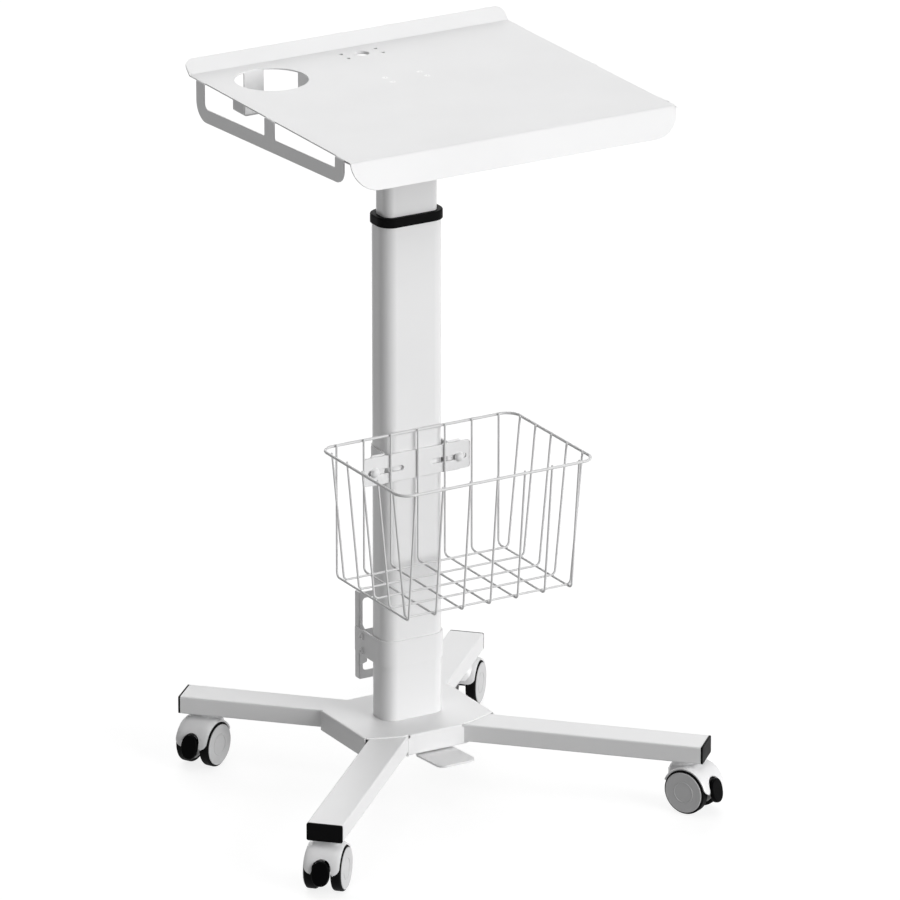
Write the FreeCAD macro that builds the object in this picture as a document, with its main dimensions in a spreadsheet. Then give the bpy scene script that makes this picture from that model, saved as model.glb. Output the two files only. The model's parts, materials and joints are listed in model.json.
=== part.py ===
import FreeCAD, Part
import Sketcher
import math
import os
import re
from FreeCAD import Placement, Rotation, Vector

# Mobile ultrasound trolley, in millimetres. Origin on the floor under the column's axis, +Z up,
# front (pedal and basket) towards -Y. Everything is at mid height of the column's travel.

SIZES = {
    # tray: one bent sheet with a raised back lip, a dropped front lip and a handle on each side
    "sheet": 2, "deck_top": 1014, "deck_half": 248, "deck_front": -286, "deck_back": 152,
    "back_lip": 24, "back_lip_angle": 45, "back_lip_corner": 13,
    "front_lip": 41, "front_lip_angle": 68, "front_lip_corner": 37,
    "fold_outer": 4, "fold_inner": 2,
    "handle_front": -271, "handle_back": 130, "handle_slope": 0.0523,
    "handle_low": 959, "handle_bar": 18.5,
    "front_tab": 23, "middle_tab_front": -83.5, "middle_tab_back": -58, "back_tab": 21,
    "handle_back_corner": 26, "handle_front_corner": 20,
    "window_back_corner": 8, "window_front_corner": 3,
    "cup_x": -162, "cup_y": 80, "cup_radius": 50,
    "arm_hole_y": 120, "arm_hole_radius": 10, "arm_screw_radius": 3,
    "outlet_wall": 1.5, "outlet_depth": 7, "insert_radius": 4.6, "insert_depth": 9,
    "plate_screw_x": 26.75, "plate_screw_y": 10.25, "plate_screw_radius": 4.4, "tray_shank": 2.5,
    # cup cradle: two crossing straps under the cup hole
    "cradle_inner": 48.7, "cradle_strap": 2.5, "cradle_width": 30, "cradle_low": 974, "cradle_foot": 11,
    "cradle_bend": 4,
    # telescopic column
    "outer_width": 95, "outer_depth": 50, "outer_corner": 18.8, "outer_wall": 2,
    "outer_low": 73, "outer_top": 822,
    "inner_width": 83, "inner_depth": 38, "inner_corner": 12.3, "inner_wall": 2,
    "inner_low": 365, "head_low": 1006, "head_width": 110, "head_depth": 60,
    "collar_low": 812.5, "collar_top": 825.5, "collar_lip": 2.5,
    "sleeve_low": 780, "guide_gap": 0.3,
    "glide_low": 360, "glide_top": 400,
    "foot_top": 93, "foot_screw_depth": 15,
    # locking gas spring with its release pin
    "rod_radius": 5, "rod_top": 490, "piston_radius": 12, "piston_height": 8,
    "cylinder_radius": 14, "cylinder_low": 300, "cylinder_top": 985, "cylinder_end": 18,
    "pin_radius": 2.5, "pin_low": 63.3, "pin_top": 100, "pin_bore_top": 108,
    "running": 0.05,
    # hub, legs and end caps
    "cover_nose": 50, "cover_depth": 80, "cover_width": 102, "cover_flank": 61,
    "cover_low": 71, "cover_rim": 1.2, "cover_sheet": 1.6, "cover_gap": 0.3,
    "plate_low": 69, "plate_nose": 48.5, "plate_depth": 77, "plate_width": 99, "plate_flank": 58,
    "leg_low": 73, "leg_high": 98, "leg_width": 50, "leg_corner": 2.5, "leg_wall": 2,
    "leg_start": 44.5, "front_reach": 420.5, "back_reach": 318, "cap_thick": 3, "cap_plug": 12,
    "leg_screw_in": 68, "leg_screw_out": 88, "screw_radius": 3, "screw_head": 5, "head_height": 3,
    "foot_screw_x": 30, "foot_screw_y": 12,
    # height pedal
    "pedal_half": 29, "pedal_neck": 20, "pedal_sheet": 3, "pedal_tip_y": -142, "pedal_tip": 72,
    "pedal_bend_y": -75, "pedal_bend": 67.5, "pedal_arm_y": -62, "pedal_arm": 63, "pedal_end_y": 10,
    "pedal_corner": 12, "pivot_y": -36, "pivot_z": 58, "pivot_radius": 3, "barrel_radius": 5,
    "ear_low": 52, "ear_front": -50, "ear_back": -22, "ear_inner": 22, "ear_outer": 25, "ear_foot": 38,
    # wire basket
    "rim_z": 518.8, "rim_radius": 2, "rim_half": 150.6, "rim_back": -27.1, "rim_front": -249,
    "rim_corner": 20, "wire_radius": 1.5, "wire_low": 331.2, "wire_pitch": 42.3, "wire_bend": 7,
    "floor_half": 129, "floor_front": -226, "cross_first": -54, "cross_pitch": 41.4,
    # basket plate and its clamp round the column
    "plate_x": 83, "plate_z": 451, "plate_height": 40, "plate_back": -25.2, "plate_thick": 3.6,
    "slot_x": 49, "slot_length": 56, "slot_height": 7.5, "slot_z": 469, "knob_x": 66,
    "knob_radius": 6.2, "knob_height": 4.5,
    "clamp_sheet": 2, "clamp_ear": 76,
    # cable holder: a strap round the column that carries a windowed plate behind it
    "strap_low": 179.5, "strap_high": 216.5, "strap_half": 48, "strap_sheet": 2, "strap_back": 57,
    "holder_shank": 2.5, "holder_window_corner": 5,
    "holder_low": 140, "holder_high": 267, "holder_y": 47, "holder_flange": 60,
    "holder_edge": 5, "holder_bar": 9, "web_low": 172, "web_high": 212, "gusset_y": 30,
    "holder_screw_y": 37, "holder_screw_low": 186, "holder_screw_high": 207,
    # twin-wheel casters
    "front_swivel": 392, "back_swivel": 284, "axle_back": 15, "axle_z": 31.5, "axle_radius": 4,
    "axle_half": 24.5, "tyre_radius": 31.5, "tyre_inner": 26.5, "tyre_in": 11.3, "tyre_out": 25.6,
    "disc_radius": 29.5, "disc_out": 27, "tyre_round": 2,
    "neck_low": 50, "stem_radius": 4, "arch_corner": 12.5, "lobe_corner": 8,
    "hood_radius": 35.7, "hood_inner": 33.2, "hood_half": 24.4, "hood_rear": 14, "hood_front": 177,
    "boss_radius": 16, "boss_top": 70.7, "cheek_in": 4.6, "cheek_out": 9, "arch_half": 13.3,
    "arch_top": 20.5, "stem_low": 52, "stem_washer": 15, "thread_radius": 5, "thread_top": 90,
    "lever_half": 4.2, "lever_eye": 7, "pad_width": 25, "pad_height": 34, "pad_thick": 7,
    "pad_reach": 36.5, "pad_lift": 3, "pad_lean": 12,
}

doc = FreeCAD.newDocument("UltrasoundTrolley")
sheet = doc.addObject("Spreadsheet::Sheet", "Dims")
for row, (alias, value) in enumerate(SIZES.items(), 1):
    sheet.set(f"A{row}", alias)
    sheet.set(f"B{row}", str(value))
    sheet.setAlias(f"B{row}", alias)
doc.recompute()

nodes = []


def bound(expression):
    """The expression with each sheet alias written as a reference to the sheet."""
    return re.sub(r"[a-z][a-z_]*", lambda m: "Dims." + m[0] if m[0] in SIZES else m[0], str(expression))


def value(expression):
    """The number that an expression of sheet aliases gives."""
    return float(sheet.evalExpression(str(expression)))


def keep(thing, label):
    """Gives a finished sub-part its name."""
    thing.Label = label
    nodes.append(thing)
    return thing


def place(thing, x="0", y="0", z="0", axis=Vector(0, 0, 1), angle="0"):
    thing.Placement = Placement(Vector(0, 0, 0), Rotation(axis, 1))
    for letter, expression in zip("xyz", (x, y, z)):
        thing.setExpression(f"Placement.Base.{letter}", bound(expression))
    thing.setExpression("Placement.Rotation.Angle", bound(angle))
    return thing


# ---- sketches and Part Design features ----

def new_body(name):
    return doc.addObject("PartDesign::Body", name)


def new_sketch(body, plane, shift="0", name="Outline"):
    """A sketch on one of the body's own origin planes, moved along its normal by shift."""
    sketch = body.newObject("Sketcher::SketchObject", f"{body.Name}_{name}")
    support = next(f for f in body.Origin.OriginFeatures if f.Role == plane)
    sketch.AttachmentSupport = [(support, "")]
    sketch.MapMode = "FlatFace"
    sketch.setExpression("AttachmentOffset.Base.z", bound(shift))
    return sketch


def fix_point(sketch, geometry, end, x, y):
    """Holds one end of a sketch curve at (x, y)."""
    for kind, expression in (("DistanceX", x), ("DistanceY", y)):
        index = sketch.addConstraint(Sketcher.Constraint(kind, -1, 1, geometry, end, value(expression)))
        sketch.setExpression(f"Constraints[{index}]", bound(expression))


def polygon(sketch, points):
    """A closed outline through points, each held by its own pair of expressions."""
    places = [Vector(value(x), value(y), 0) for x, y in points]
    first = sketch.GeometryCount
    count = len(points)
    for i in range(count):
        sketch.addGeometry(Part.LineSegment(places[i], places[(i + 1) % count]))
    for i in range(count):
        sketch.addConstraint(Sketcher.Constraint("Coincident", first + i, 2, first + (i + 1) % count, 1))
    for i, (x, y) in enumerate(points):
        fix_point(sketch, first + i, 1, x, y)


def circle(sketch, x, y, radius):
    centre = Vector(value(x), value(y), 0)
    index = sketch.addGeometry(Part.Circle(centre, Vector(0, 0, 1), value(radius)))
    number = sketch.addConstraint(Sketcher.Constraint("Radius", index, value(radius)))
    sketch.setExpression(f"Constraints[{number}]", bound(radius))
    fix_point(sketch, index, 3, x, y)


def rounded_rectangle(sketch, left, right, low, high, radius):
    """A rectangle with four equal round corners, its sides held by expressions."""
    x0, x1, y0, y1, r = (value(e) for e in (left, right, low, high, radius))
    corners = [(x1 - r, y0 + r, -90), (x1 - r, y1 - r, 0), (x0 + r, y1 - r, 90), (x0 + r, y0 + r, 180)]
    sides = [((x0 + r, y0), (x1 - r, y0)), ((x1, y0 + r), (x1, y1 - r)),
             ((x1 - r, y1), (x0 + r, y1)), ((x0, y1 - r), (x0, y0 + r))]
    first = sketch.GeometryCount
    for (start, end), (cx, cy, turn) in zip(sides, corners):
        sketch.addGeometry(Part.LineSegment(Vector(*start, 0), Vector(*end, 0)))
        ring = Part.Circle(Vector(cx, cy, 0), Vector(0, 0, 1), r)
        sketch.addGeometry(Part.ArcOfCircle(ring, math.radians(turn), math.radians(turn + 90)))
    for i in range(4):
        line = first + 2 * i
        sketch.addConstraint(Sketcher.Constraint("Tangent", line, 2, line + 1, 1))
        sketch.addConstraint(Sketcher.Constraint("Tangent", line + 1, 2, first + (2 * i + 2) % 8, 1))
        if i:
            sketch.addConstraint(Sketcher.Constraint("Equal", first + 1, line + 1))
    number = sketch.addConstraint(Sketcher.Constraint("Radius", first + 1, r))
    sketch.setExpression(f"Constraints[{number}]", bound(radius))
    held = (("DistanceY", 0, low), ("DistanceX", 2, right), ("DistanceY", 4, high), ("DistanceX", 6, left))
    for kind, offset, expression in held:
        direction = "Horizontal" if kind == "DistanceY" else "Vertical"
        sketch.addConstraint(Sketcher.Constraint(direction, first + offset))
        number = sketch.addConstraint(
            Sketcher.Constraint(kind, -1, 1, first + offset, 1, value(expression)))
        sketch.setExpression(f"Constraints[{number}]", bound(expression))


def pad(body, sketch, length, symmetric=False, backwards=False):
    feature = body.newObject("PartDesign::Pad", f"{sketch.Name}_Pad")
    feature.Profile = sketch
    feature.setExpression("Length", bound(length))
    feature.SideType = "Symmetric" if symmetric else "One side"
    feature.Reversed = backwards
    doc.recompute()
    return feature


def pocket(body, sketch, length=None, upwards=True):
    """Cuts the sketch through the whole body, or to a depth; the volume has to fall."""
    before = body.Shape.Volume
    feature = body.newObject("PartDesign::Pocket", f"{sketch.Name}_Pocket")
    feature.Profile = sketch
    if length is None:
        feature.Type = "ThroughAll"
        feature.SideType = "Symmetric"
    else:
        feature.setExpression("Length", bound(length))
        feature.Reversed = upwards
    doc.recompute()
    if not body.Shape.Volume < before - 0.01:
        raise RuntimeError(f"{feature.Name} cuts nothing")
    return feature


def fillet(body, radius, chosen, name="Round"):
    """Rounds every edge of the body for which chosen(edge) is true."""
    base = body.Tip
    edges = [f"Edge{i}" for i, edge in enumerate(base.Shape.Edges, 1) if chosen(edge)]
    if not edges:
        raise RuntimeError(f"{body.Name}: no edge to round for {name}")
    feature = body.newObject("PartDesign::Fillet", f"{body.Name}_{name}")
    feature.Base = (base, edges)
    feature.setExpression("Radius", bound(radius))
    doc.recompute()
    return feature


def middle(edge):
    return edge.valueAt((edge.FirstParameter + edge.LastParameter) / 2)


def along(edge, direction, tolerance=1e-4):
    """True for a straight edge parallel to direction."""
    if edge.Curve.TypeId != "Part::GeomLine":
        return False
    run = edge.Vertexes[-1].Point - edge.Vertexes[0].Point
    return run.Length > 1e-6 and abs(abs(run.normalize().dot(direction)) - 1) < tolerance


def close(a, b, tolerance=0.2):
    return abs(a - b) < tolerance


X, Y, Z = Vector(1, 0, 0), Vector(0, 1, 0), Vector(0, 0, 1)
TURNS = {"Z": (Z, "0"), "X": (Y, "90"), "Y": (X, "-90")}


# ---- Part primitives and booleans ----

def cylinder(name, radius, height, at=("0", "0", "0"), axis="Z", sweep="360"):
    thing = doc.addObject("Part::Cylinder", name)
    thing.setExpression("Radius", bound(radius))
    thing.setExpression("Height", bound(height))
    thing.setExpression("Angle", bound(sweep))
    turn_axis, angle = TURNS[axis]
    return place(thing, *at, axis=turn_axis, angle=angle)


def fuse(name, things):
    thing = doc.addObject("Part::MultiFuse", name)
    thing.Shapes = things
    return thing


def compound(name, things):
    thing = doc.addObject("Part::Compound", name)
    thing.Links = things
    return thing


# ---- shapes used more than once ----

def corner_point(sketch, x, y):
    """A construction point held at (x, y)."""
    index = sketch.addGeometry(Part.Point(Vector(value(x), value(y), 0)), True)
    fix_point(sketch, index, 1, x, y)
    return index


def bent_path(sketch, points, radius):
    """An open path through points whose inner corners are bends of the given radius."""
    places = [Vector(value(x), value(y), 0) for x, y in points]
    r = value(radius)
    bends = []
    for i in range(1, len(places) - 1):
        back = (places[i - 1] - places[i]).normalize()
        on = (places[i + 1] - places[i]).normalize()
        half = back.getAngle(on) / 2
        centre = places[i] + (back + on).normalize() * (r / math.sin(half))
        reach = r / math.tan(half)
        bends.append((places[i] + back * reach, places[i] + on * reach, centre, back.cross(on).z > 0))
    starts = [places[0]] + [bend[1] for bend in bends]
    ends = [bend[0] for bend in bends] + [places[-1]]
    lines = [sketch.addGeometry(Part.LineSegment(a, b)) for a, b in zip(starts, ends)]
    for i, (start, end, centre, clockwise) in enumerate(bends):
        turns = [math.atan2(p.y - centre.y, p.x - centre.x) for p in (start, end)]
        first, last = reversed(turns) if clockwise else turns
        arc = sketch.addGeometry(Part.ArcOfCircle(Part.Circle(centre, Vector(0, 0, 1), r), first, last))
        near, far = (2, 1) if clockwise else (1, 2)
        sketch.addConstraint(Sketcher.Constraint("Tangent", lines[i], 2, arc, near))
        sketch.addConstraint(Sketcher.Constraint("Tangent", arc, far, lines[i + 1], 1))
        number = sketch.addConstraint(Sketcher.Constraint("Radius", arc, r))
        sketch.setExpression(f"Constraints[{number}]", bound(radius))
        mark = corner_point(sketch, *points[i + 1])
        sketch.addConstraint(Sketcher.Constraint("PointOnObject", mark, 1, lines[i]))
        sketch.addConstraint(Sketcher.Constraint("PointOnObject", mark, 1, lines[i + 1]))
    fix_point(sketch, lines[0], 1, *points[0])
    fix_point(sketch, lines[-1], 2, *points[-1])


def pipe(name, plane, shift, points, bend, start, radius):
    """A round wire that follows a bent path; its section is drawn on the XY plane at start's height."""
    body = new_body(name)
    path = new_sketch(body, plane, shift, "Path")
    bent_path(path, points, bend)
    section = new_sketch(body, "XY_Plane", start[2], "Section")
    circle(section, start[0], start[1], radius)
    doc.recompute()
    sweep = body.newObject("PartDesign::AdditivePipe", f"{name}_Sweep")
    sweep.Profile = section
    sweep.Spine = (path, [f"Edge{i}" for i in range(1, len(path.Shape.Edges) + 1)])
    doc.recompute()
    return body


def ring_profile(body, name, half_x, half_y, corner, low, height, inner=None):
    """A rounded rectangular bar centred on the column's axis, or a tube when inner is given."""
    sketch = new_sketch(body, "XY_Plane", low, name)
    rounded_rectangle(sketch, f"-({half_x})", half_x, f"-({half_y})", half_y, corner)
    if inner:
        rounded_rectangle(sketch, f"-({inner[0]})", inner[0], f"-({inner[1]})", inner[1], inner[2])
    return pad(body, sketch, height)


def holes(body, name, plane, shift, places, radius, length=None, upwards=True):
    sketch = new_sketch(body, plane, shift, name)
    for x, y in places:
        circle(sketch, x, y, radius)
    return pocket(body, sketch, length, upwards)


def four(x, y, shift_y="0"):
    return [(f"{i} * {x}", f"{shift_y} + {j} * {y}") for i in (-1, 1) for j in (-1, 1)]


# ---- tray ----

def handle(body, side):
    """The side handle: a plate in the sheet's thickness with three tabs up to the deck."""
    def low(y):
        return f"handle_low + handle_slope * (handle_back - ({y}))"

    def high(y):
        return f"handle_low + handle_bar + handle_slope * (handle_back - ({y}))"

    front_in = "handle_front + front_tab"
    back_in = "handle_back - back_tab"
    outline = [
        ("handle_back", "deck_top"), ("handle_back", low("handle_back")),
        ("handle_front", low("handle_front")), ("handle_front", "deck_top"),
        (front_in, "deck_top"), (front_in, high(front_in)),
        ("middle_tab_front", high("middle_tab_front")), ("middle_tab_front", "deck_top"),
        ("middle_tab_back", "deck_top"), ("middle_tab_back", high("middle_tab_back")),
        (back_in, high(back_in)), (back_in, "deck_top"),
    ]
    sketch = new_sketch(body, "YZ_Plane", f"{side} * deck_half", f"Handle{side + 1}")
    polygon(sketch, outline)
    pad(body, sketch, "sheet", backwards=side < 0)
    outer = side * value("deck_half + sheet / 2")

    def corner(y, z):
        def chosen(edge):
            at = middle(edge)
            return along(edge, X) and close(at.x, outer) and close(at.y, value(y)) and close(at.z, value(z))
        return chosen

    rounds = (
        ("handle_back_corner", "handle_back", low("handle_back")),
        ("handle_front_corner", "handle_front", low("handle_front")),
        ("window_front_corner", front_in, high(front_in)),
        ("window_front_corner", "middle_tab_front", high("middle_tab_front")),
        ("window_back_corner", back_in, high(back_in)),
        ("window_front_corner", "middle_tab_back", high("middle_tab_back")),
    )
    for number, (radius, y, z) in enumerate(rounds):
        fillet(body, radius, corner(y, z), f"Corner{side + 1}{number}")


tray = new_body("Tray")
profile = new_sketch(tray, "YZ_Plane")
LIP_Y = "deck_front - front_lip * cos(front_lip_angle)"
LIP_Z = "deck_top - front_lip * sin(front_lip_angle)"
RIM_Y = "deck_back + back_lip * cos(back_lip_angle)"
RIM_Z = "deck_top + back_lip * sin(back_lip_angle)"
polygon(profile, [
    ("deck_front", "deck_top"), (LIP_Y, LIP_Z),
    (f"{LIP_Y} + sheet * sin(front_lip_angle)", f"{LIP_Z} - sheet * cos(front_lip_angle)"),
    ("deck_front + sheet * tan(front_lip_angle / 2)", "deck_top - sheet"),
    ("deck_back + sheet * tan(back_lip_angle / 2)", "deck_top - sheet"),
    (f"{RIM_Y} + sheet * sin(back_lip_angle)", f"{RIM_Z} - sheet * cos(back_lip_angle)"),
    (RIM_Y, RIM_Z), ("deck_back", "deck_top"),
])
pad(tray, profile, "2 * deck_half", symmetric=True)


def bend(y, z):
    def chosen(edge):
        at = middle(edge)
        return along(edge, X) and close(at.y, value(y)) and close(at.z, value(z))
    return chosen


def lip_end(y, z):
    """The two short edges at the ends of a lip's free edge."""
    def chosen(edge):
        at = middle(edge)
        near = math.hypot(at.y - value(y), at.z - value(z)) < value("sheet")
        return edge.Length < value("sheet") + 0.1 and near and close(abs(at.x), value("deck_half"))
    return chosen


fillet(tray, "fold_outer", bend("deck_front", "deck_top"), "FrontBend")
front_inside = bend("deck_front + sheet * tan(front_lip_angle / 2)", "deck_top - sheet")
fillet(tray, "fold_inner", front_inside, "FrontInner")
fillet(tray, "fold_inner", bend("deck_back", "deck_top"), "BackBend")
back_outside = bend("deck_back + sheet * tan(back_lip_angle / 2)", "deck_top - sheet")
fillet(tray, "fold_outer", back_outside, "BackOuter")
fillet(tray, "front_lip_corner", lip_end(LIP_Y, LIP_Z), "FrontLip")
fillet(tray, "back_lip_corner", lip_end(RIM_Y, RIM_Z), "BackLip")
for side in (-1, 1):
    handle(tray, side)


def fold_edges(edge):
    at = middle(edge)
    outside = close(abs(at.x), value("deck_half + sheet"))
    return along(edge, Y) and outside and close(at.z, value("deck_top"))


fillet(tray, "sheet", fold_edges, "HandleFold")
holes(tray, "CupHole", "XY_Plane", "deck_top", [("cup_x", "cup_y")], "cup_radius")
holes(tray, "ArmScrews", "XY_Plane", "deck_top",
      four("plate_screw_x", "plate_screw_y", "arm_hole_y"), "arm_screw_radius")
throat = new_sketch(tray, "XY_Plane", "deck_top - sheet - outlet_depth", "Throat")
circle(throat, "0", "arm_hole_y", "arm_hole_radius + outlet_wall")
pad(tray, throat, "outlet_depth")
holes(tray, "CableHole", "XY_Plane", "deck_top", [("0", "arm_hole_y")], "arm_hole_radius")
screw_places = four("plate_screw_x", "plate_screw_y")
holes(tray, "PlateScrews", "XY_Plane", "deck_top", screw_places, "plate_screw_radius")
keep(tray, "tray")

screws = []
for number, (x, y) in enumerate(screw_places):
    head = cylinder(f"TrayScrewHead{number}", "plate_screw_radius", "sheet", (x, y, "deck_top - sheet"))
    shank = cylinder(f"TrayScrewShank{number}", "tray_shank", "deck_top - head_low", (x, y, "head_low"))
    screws.append(fuse(f"TrayScrew{number}", [head, shank]))
for number, (x, y) in enumerate(four("plate_screw_x", "plate_screw_y", "arm_hole_y")):
    insert = new_body(f"ArmInsert{number}")
    barrel = new_sketch(insert, "XY_Plane", "deck_top - sheet - insert_depth", "Barrel")
    circle(barrel, x, y, "insert_radius")
    pad(insert, barrel, "insert_depth")
    holes(insert, "Thread", "XY_Plane", "deck_top - sheet", [(x, y)], "arm_screw_radius",
          "insert_depth - 1.5", upwards=False)
    screws.append(insert)
keep(compound("TrayScrews", screws), "tray_screws")


# ---- cup cradle ----

cradle = new_body("Cradle")


def strap_outline(centre):
    """Half of a strap's section each side of centre: floor, uprights and out-turned feet."""
    floor, under, wall = "cradle_low", "deck_top - sheet", "cradle_inner + cradle_strap"
    right = [
        (wall, floor), (wall, f"{under} - cradle_strap"),
        (f"{wall} + cradle_foot", f"{under} - cradle_strap"), (f"{wall} + cradle_foot", under),
        ("cradle_inner", under), ("cradle_inner", f"{floor} + cradle_strap"),
    ]
    left = [(f"-({x})", z) for x, z in reversed(right)]
    return [(f"{centre} + {x}", z) for x, z in right + left]


across = new_sketch(cradle, "XZ_Plane", "-cup_y", "Across")
polygon(across, strap_outline("cup_x"))
pad(cradle, across, "cradle_width", symmetric=True)
lengthways = new_sketch(cradle, "YZ_Plane", "cup_x", "Lengthways")
polygon(lengthways, strap_outline("cup_y"))
pad(cradle, lengthways, "cradle_width", symmetric=True)


def cradle_bends(edge):
    at = middle(edge)
    flat = along(edge, X) or along(edge, Y)
    reach = max(abs(at.x - value("cup_x")), abs(at.y - value("cup_y")))
    return flat and close(at.z, value("cradle_low")) and close(reach, value("cradle_inner + cradle_strap"))


fillet(cradle, "cradle_bend", cradle_bends, "Bends")
keep(cradle, "cup_cradle")


# ---- telescopic column ----

tube = new_body("InnerTube")
ring_profile(tube, "Section", "inner_width / 2", "inner_depth / 2", "inner_corner", "inner_low",
             "head_low - inner_low",
             ("inner_width / 2 - inner_wall", "inner_depth / 2 - inner_wall", "inner_corner - inner_wall"))
ring_profile(tube, "Head", "head_width / 2", "head_depth / 2", "fold_outer", "head_low",
             "deck_top - sheet - head_low")
holes(tube, "HeadScrews", "XY_Plane", "deck_top", screw_places, "tray_shank")
keep(tube, "inner_tube")

glide = new_body("Glide")
ring_profile(glide, "Block", "outer_width / 2 - outer_wall - guide_gap",
             "outer_depth / 2 - outer_wall - guide_gap", "outer_corner - outer_wall - guide_gap",
             "glide_low", "glide_top - glide_low")
seat = new_sketch(glide, "XY_Plane", "inner_low", "Seat")
rounded_rectangle(seat, "-inner_width / 2", "inner_width / 2", "-inner_depth / 2", "inner_depth / 2",
                  "inner_corner")
pocket(glide, seat, "glide_top - inner_low")
holes(glide, "CylinderHole", "XY_Plane", "glide_low", [("0", "0")], "cylinder_radius")
keep(glide, "inner_glide")

tube = new_body("OuterTube")
ring_profile(tube, "Section", "outer_width / 2", "outer_depth / 2", "outer_corner", "outer_low",
             "outer_top - outer_low",
             ("outer_width / 2 - outer_wall", "outer_depth / 2 - outer_wall", "outer_corner - outer_wall"))
keep(tube, "outer_tube")

collar = new_body("Collar")
ring_profile(collar, "Skirt", "outer_width / 2 + collar_lip", "outer_depth / 2 + collar_lip - 0.35",
             "outer_corner + collar_lip - 0.35", "collar_low", "collar_top - collar_low")
seat = new_sketch(collar, "XY_Plane", "collar_low", "Seat")
rounded_rectangle(seat, "-outer_width / 2", "outer_width / 2", "-outer_depth / 2", "outer_depth / 2",
                  "outer_corner")
pocket(collar, seat, "outer_top - collar_low")
ring_profile(collar, "Guide", "outer_width / 2 - outer_wall", "outer_depth / 2 - outer_wall",
             "outer_corner - outer_wall", "sleeve_low", "collar_top - sleeve_low")
opening = new_sketch(collar, "XY_Plane", "sleeve_low", "Opening")
rounded_rectangle(opening, "-inner_width / 2 - guide_gap", "inner_width / 2 + guide_gap",
                  "-inner_depth / 2 - guide_gap", "inner_depth / 2 + guide_gap", "inner_corner + guide_gap")
pocket(collar, opening)


def collar_edge(edge):
    box_of = edge.BoundBox
    flat = box_of.ZLength < 0.01 and close(box_of.ZMin, value("collar_top"), 0.01)
    reach = max(abs(box_of.XMax), abs(box_of.XMin), 2 * abs(middle(edge).y))
    return flat and reach > value("outer_width / 2 + 1")


fillet(collar, "1.2", collar_edge, "Edge")
keep(collar, "column_collar")

foot = new_body("Foot")
ring_profile(foot, "Block", "outer_width / 2 - outer_wall", "outer_depth / 2 - outer_wall",
             "outer_corner - outer_wall", "outer_low", "foot_top - outer_low")
holes(foot, "RodHole", "XY_Plane", "outer_low", [("0", "0")], "rod_radius")
holes(foot, "ScrewHoles", "XY_Plane", "outer_low", four("foot_screw_x", "foot_screw_y"), "screw_radius",
      "foot_screw_depth")
keep(foot, "column_foot")

piston = new_body("Rod")
rod = new_sketch(piston, "XY_Plane", "outer_low", "Stem")
circle(rod, "0", "0", "rod_radius")
pad(piston, rod, "rod_top - outer_low")
head = new_sketch(piston, "XY_Plane", "rod_top - piston_height", "Head")
circle(head, "0", "0", "piston_radius")
pad(piston, head, "piston_height")
holes(piston, "PinBore", "XY_Plane", "outer_low", [("0", "0")], "pin_radius + running",
      "pin_bore_top - outer_low")
keep(piston, "gas_rod")

gas = new_body("Cylinder")
barrel = new_sketch(gas, "XY_Plane", "cylinder_low", "Barrel")
circle(barrel, "0", "0", "cylinder_radius")
pad(gas, barrel, "cylinder_top - cylinder_low")
stud = new_sketch(gas, "XY_Plane", "cylinder_top", "Stud")
circle(stud, "0", "0", "rod_radius")
pad(gas, stud, "head_low - cylinder_top")
holes(gas, "RodHole", "XY_Plane", "cylinder_low", [("0", "0")], "rod_radius + running", "cylinder_end")
chamber = new_sketch(gas, "XY_Plane", "cylinder_low + cylinder_end", "Chamber")
circle(chamber, "0", "0", "piston_radius + running")
pocket(gas, chamber, "cylinder_top - cylinder_low - 2 * cylinder_end")
keep(gas, "gas_cylinder")

keep(cylinder("Pin", "pin_radius", "pin_top - pin_low", ("0", "0", "pin_low")), "release_pin")


# ---- hub, legs and end caps ----

def octagon(nose, depth, width, flank):
    quarter = [(nose, depth), (width, flank)]
    points = [(x, y) for x, y in quarter] + [(x, f"-({y})") for x, y in reversed(quarter)]
    return points + [(f"-({x})", y) for x, y in reversed(points)]


def diagonal_bar(sketch, angle, half_width, inner, outer):
    """A straight bar outline on a diagonal, from inner to outer distance."""
    corners = [(inner, f"-({half_width})"), (outer, f"-({half_width})"), (outer, half_width),
               (inner, half_width)]
    turned = []
    for r, s in corners:
        across = f"({r}) * cos({angle}) - ({s}) * sin({angle})"
        turned.append((across, f"({r}) * sin({angle}) + ({s}) * cos({angle})"))
    polygon(sketch, turned)


def polar(radius, angle):
    return (f"({radius}) * cos({angle})", f"({radius}) * sin({angle})")


LEGS = (("front_left", -135, "front_reach", "front_swivel"),
        ("front_right", -45, "front_reach", "front_swivel"),
        ("rear_left", 135, "back_reach", "back_swivel"),
        ("rear_right", 45, "back_reach", "back_swivel"))
leg_screws = [polar(r, angle) for _, angle, _, _ in LEGS for r in ("leg_screw_in", "leg_screw_out")]
foot_screws = four("foot_screw_x", "foot_screw_y")

plate = new_body("HubPlate")
outline = new_sketch(plate, "XY_Plane", "plate_low", "Plate")
polygon(outline, octagon("plate_nose", "plate_depth", "plate_width", "plate_flank"))
pad(plate, outline, "leg_low - plate_low")
holes(plate, "PinHole", "XY_Plane", "plate_low", [("0", "0")], "pin_radius + 0.3")
holes(plate, "Screws", "XY_Plane", "plate_low", leg_screws + foot_screws, "screw_radius")
keep(plate, "hub_plate")

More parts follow.
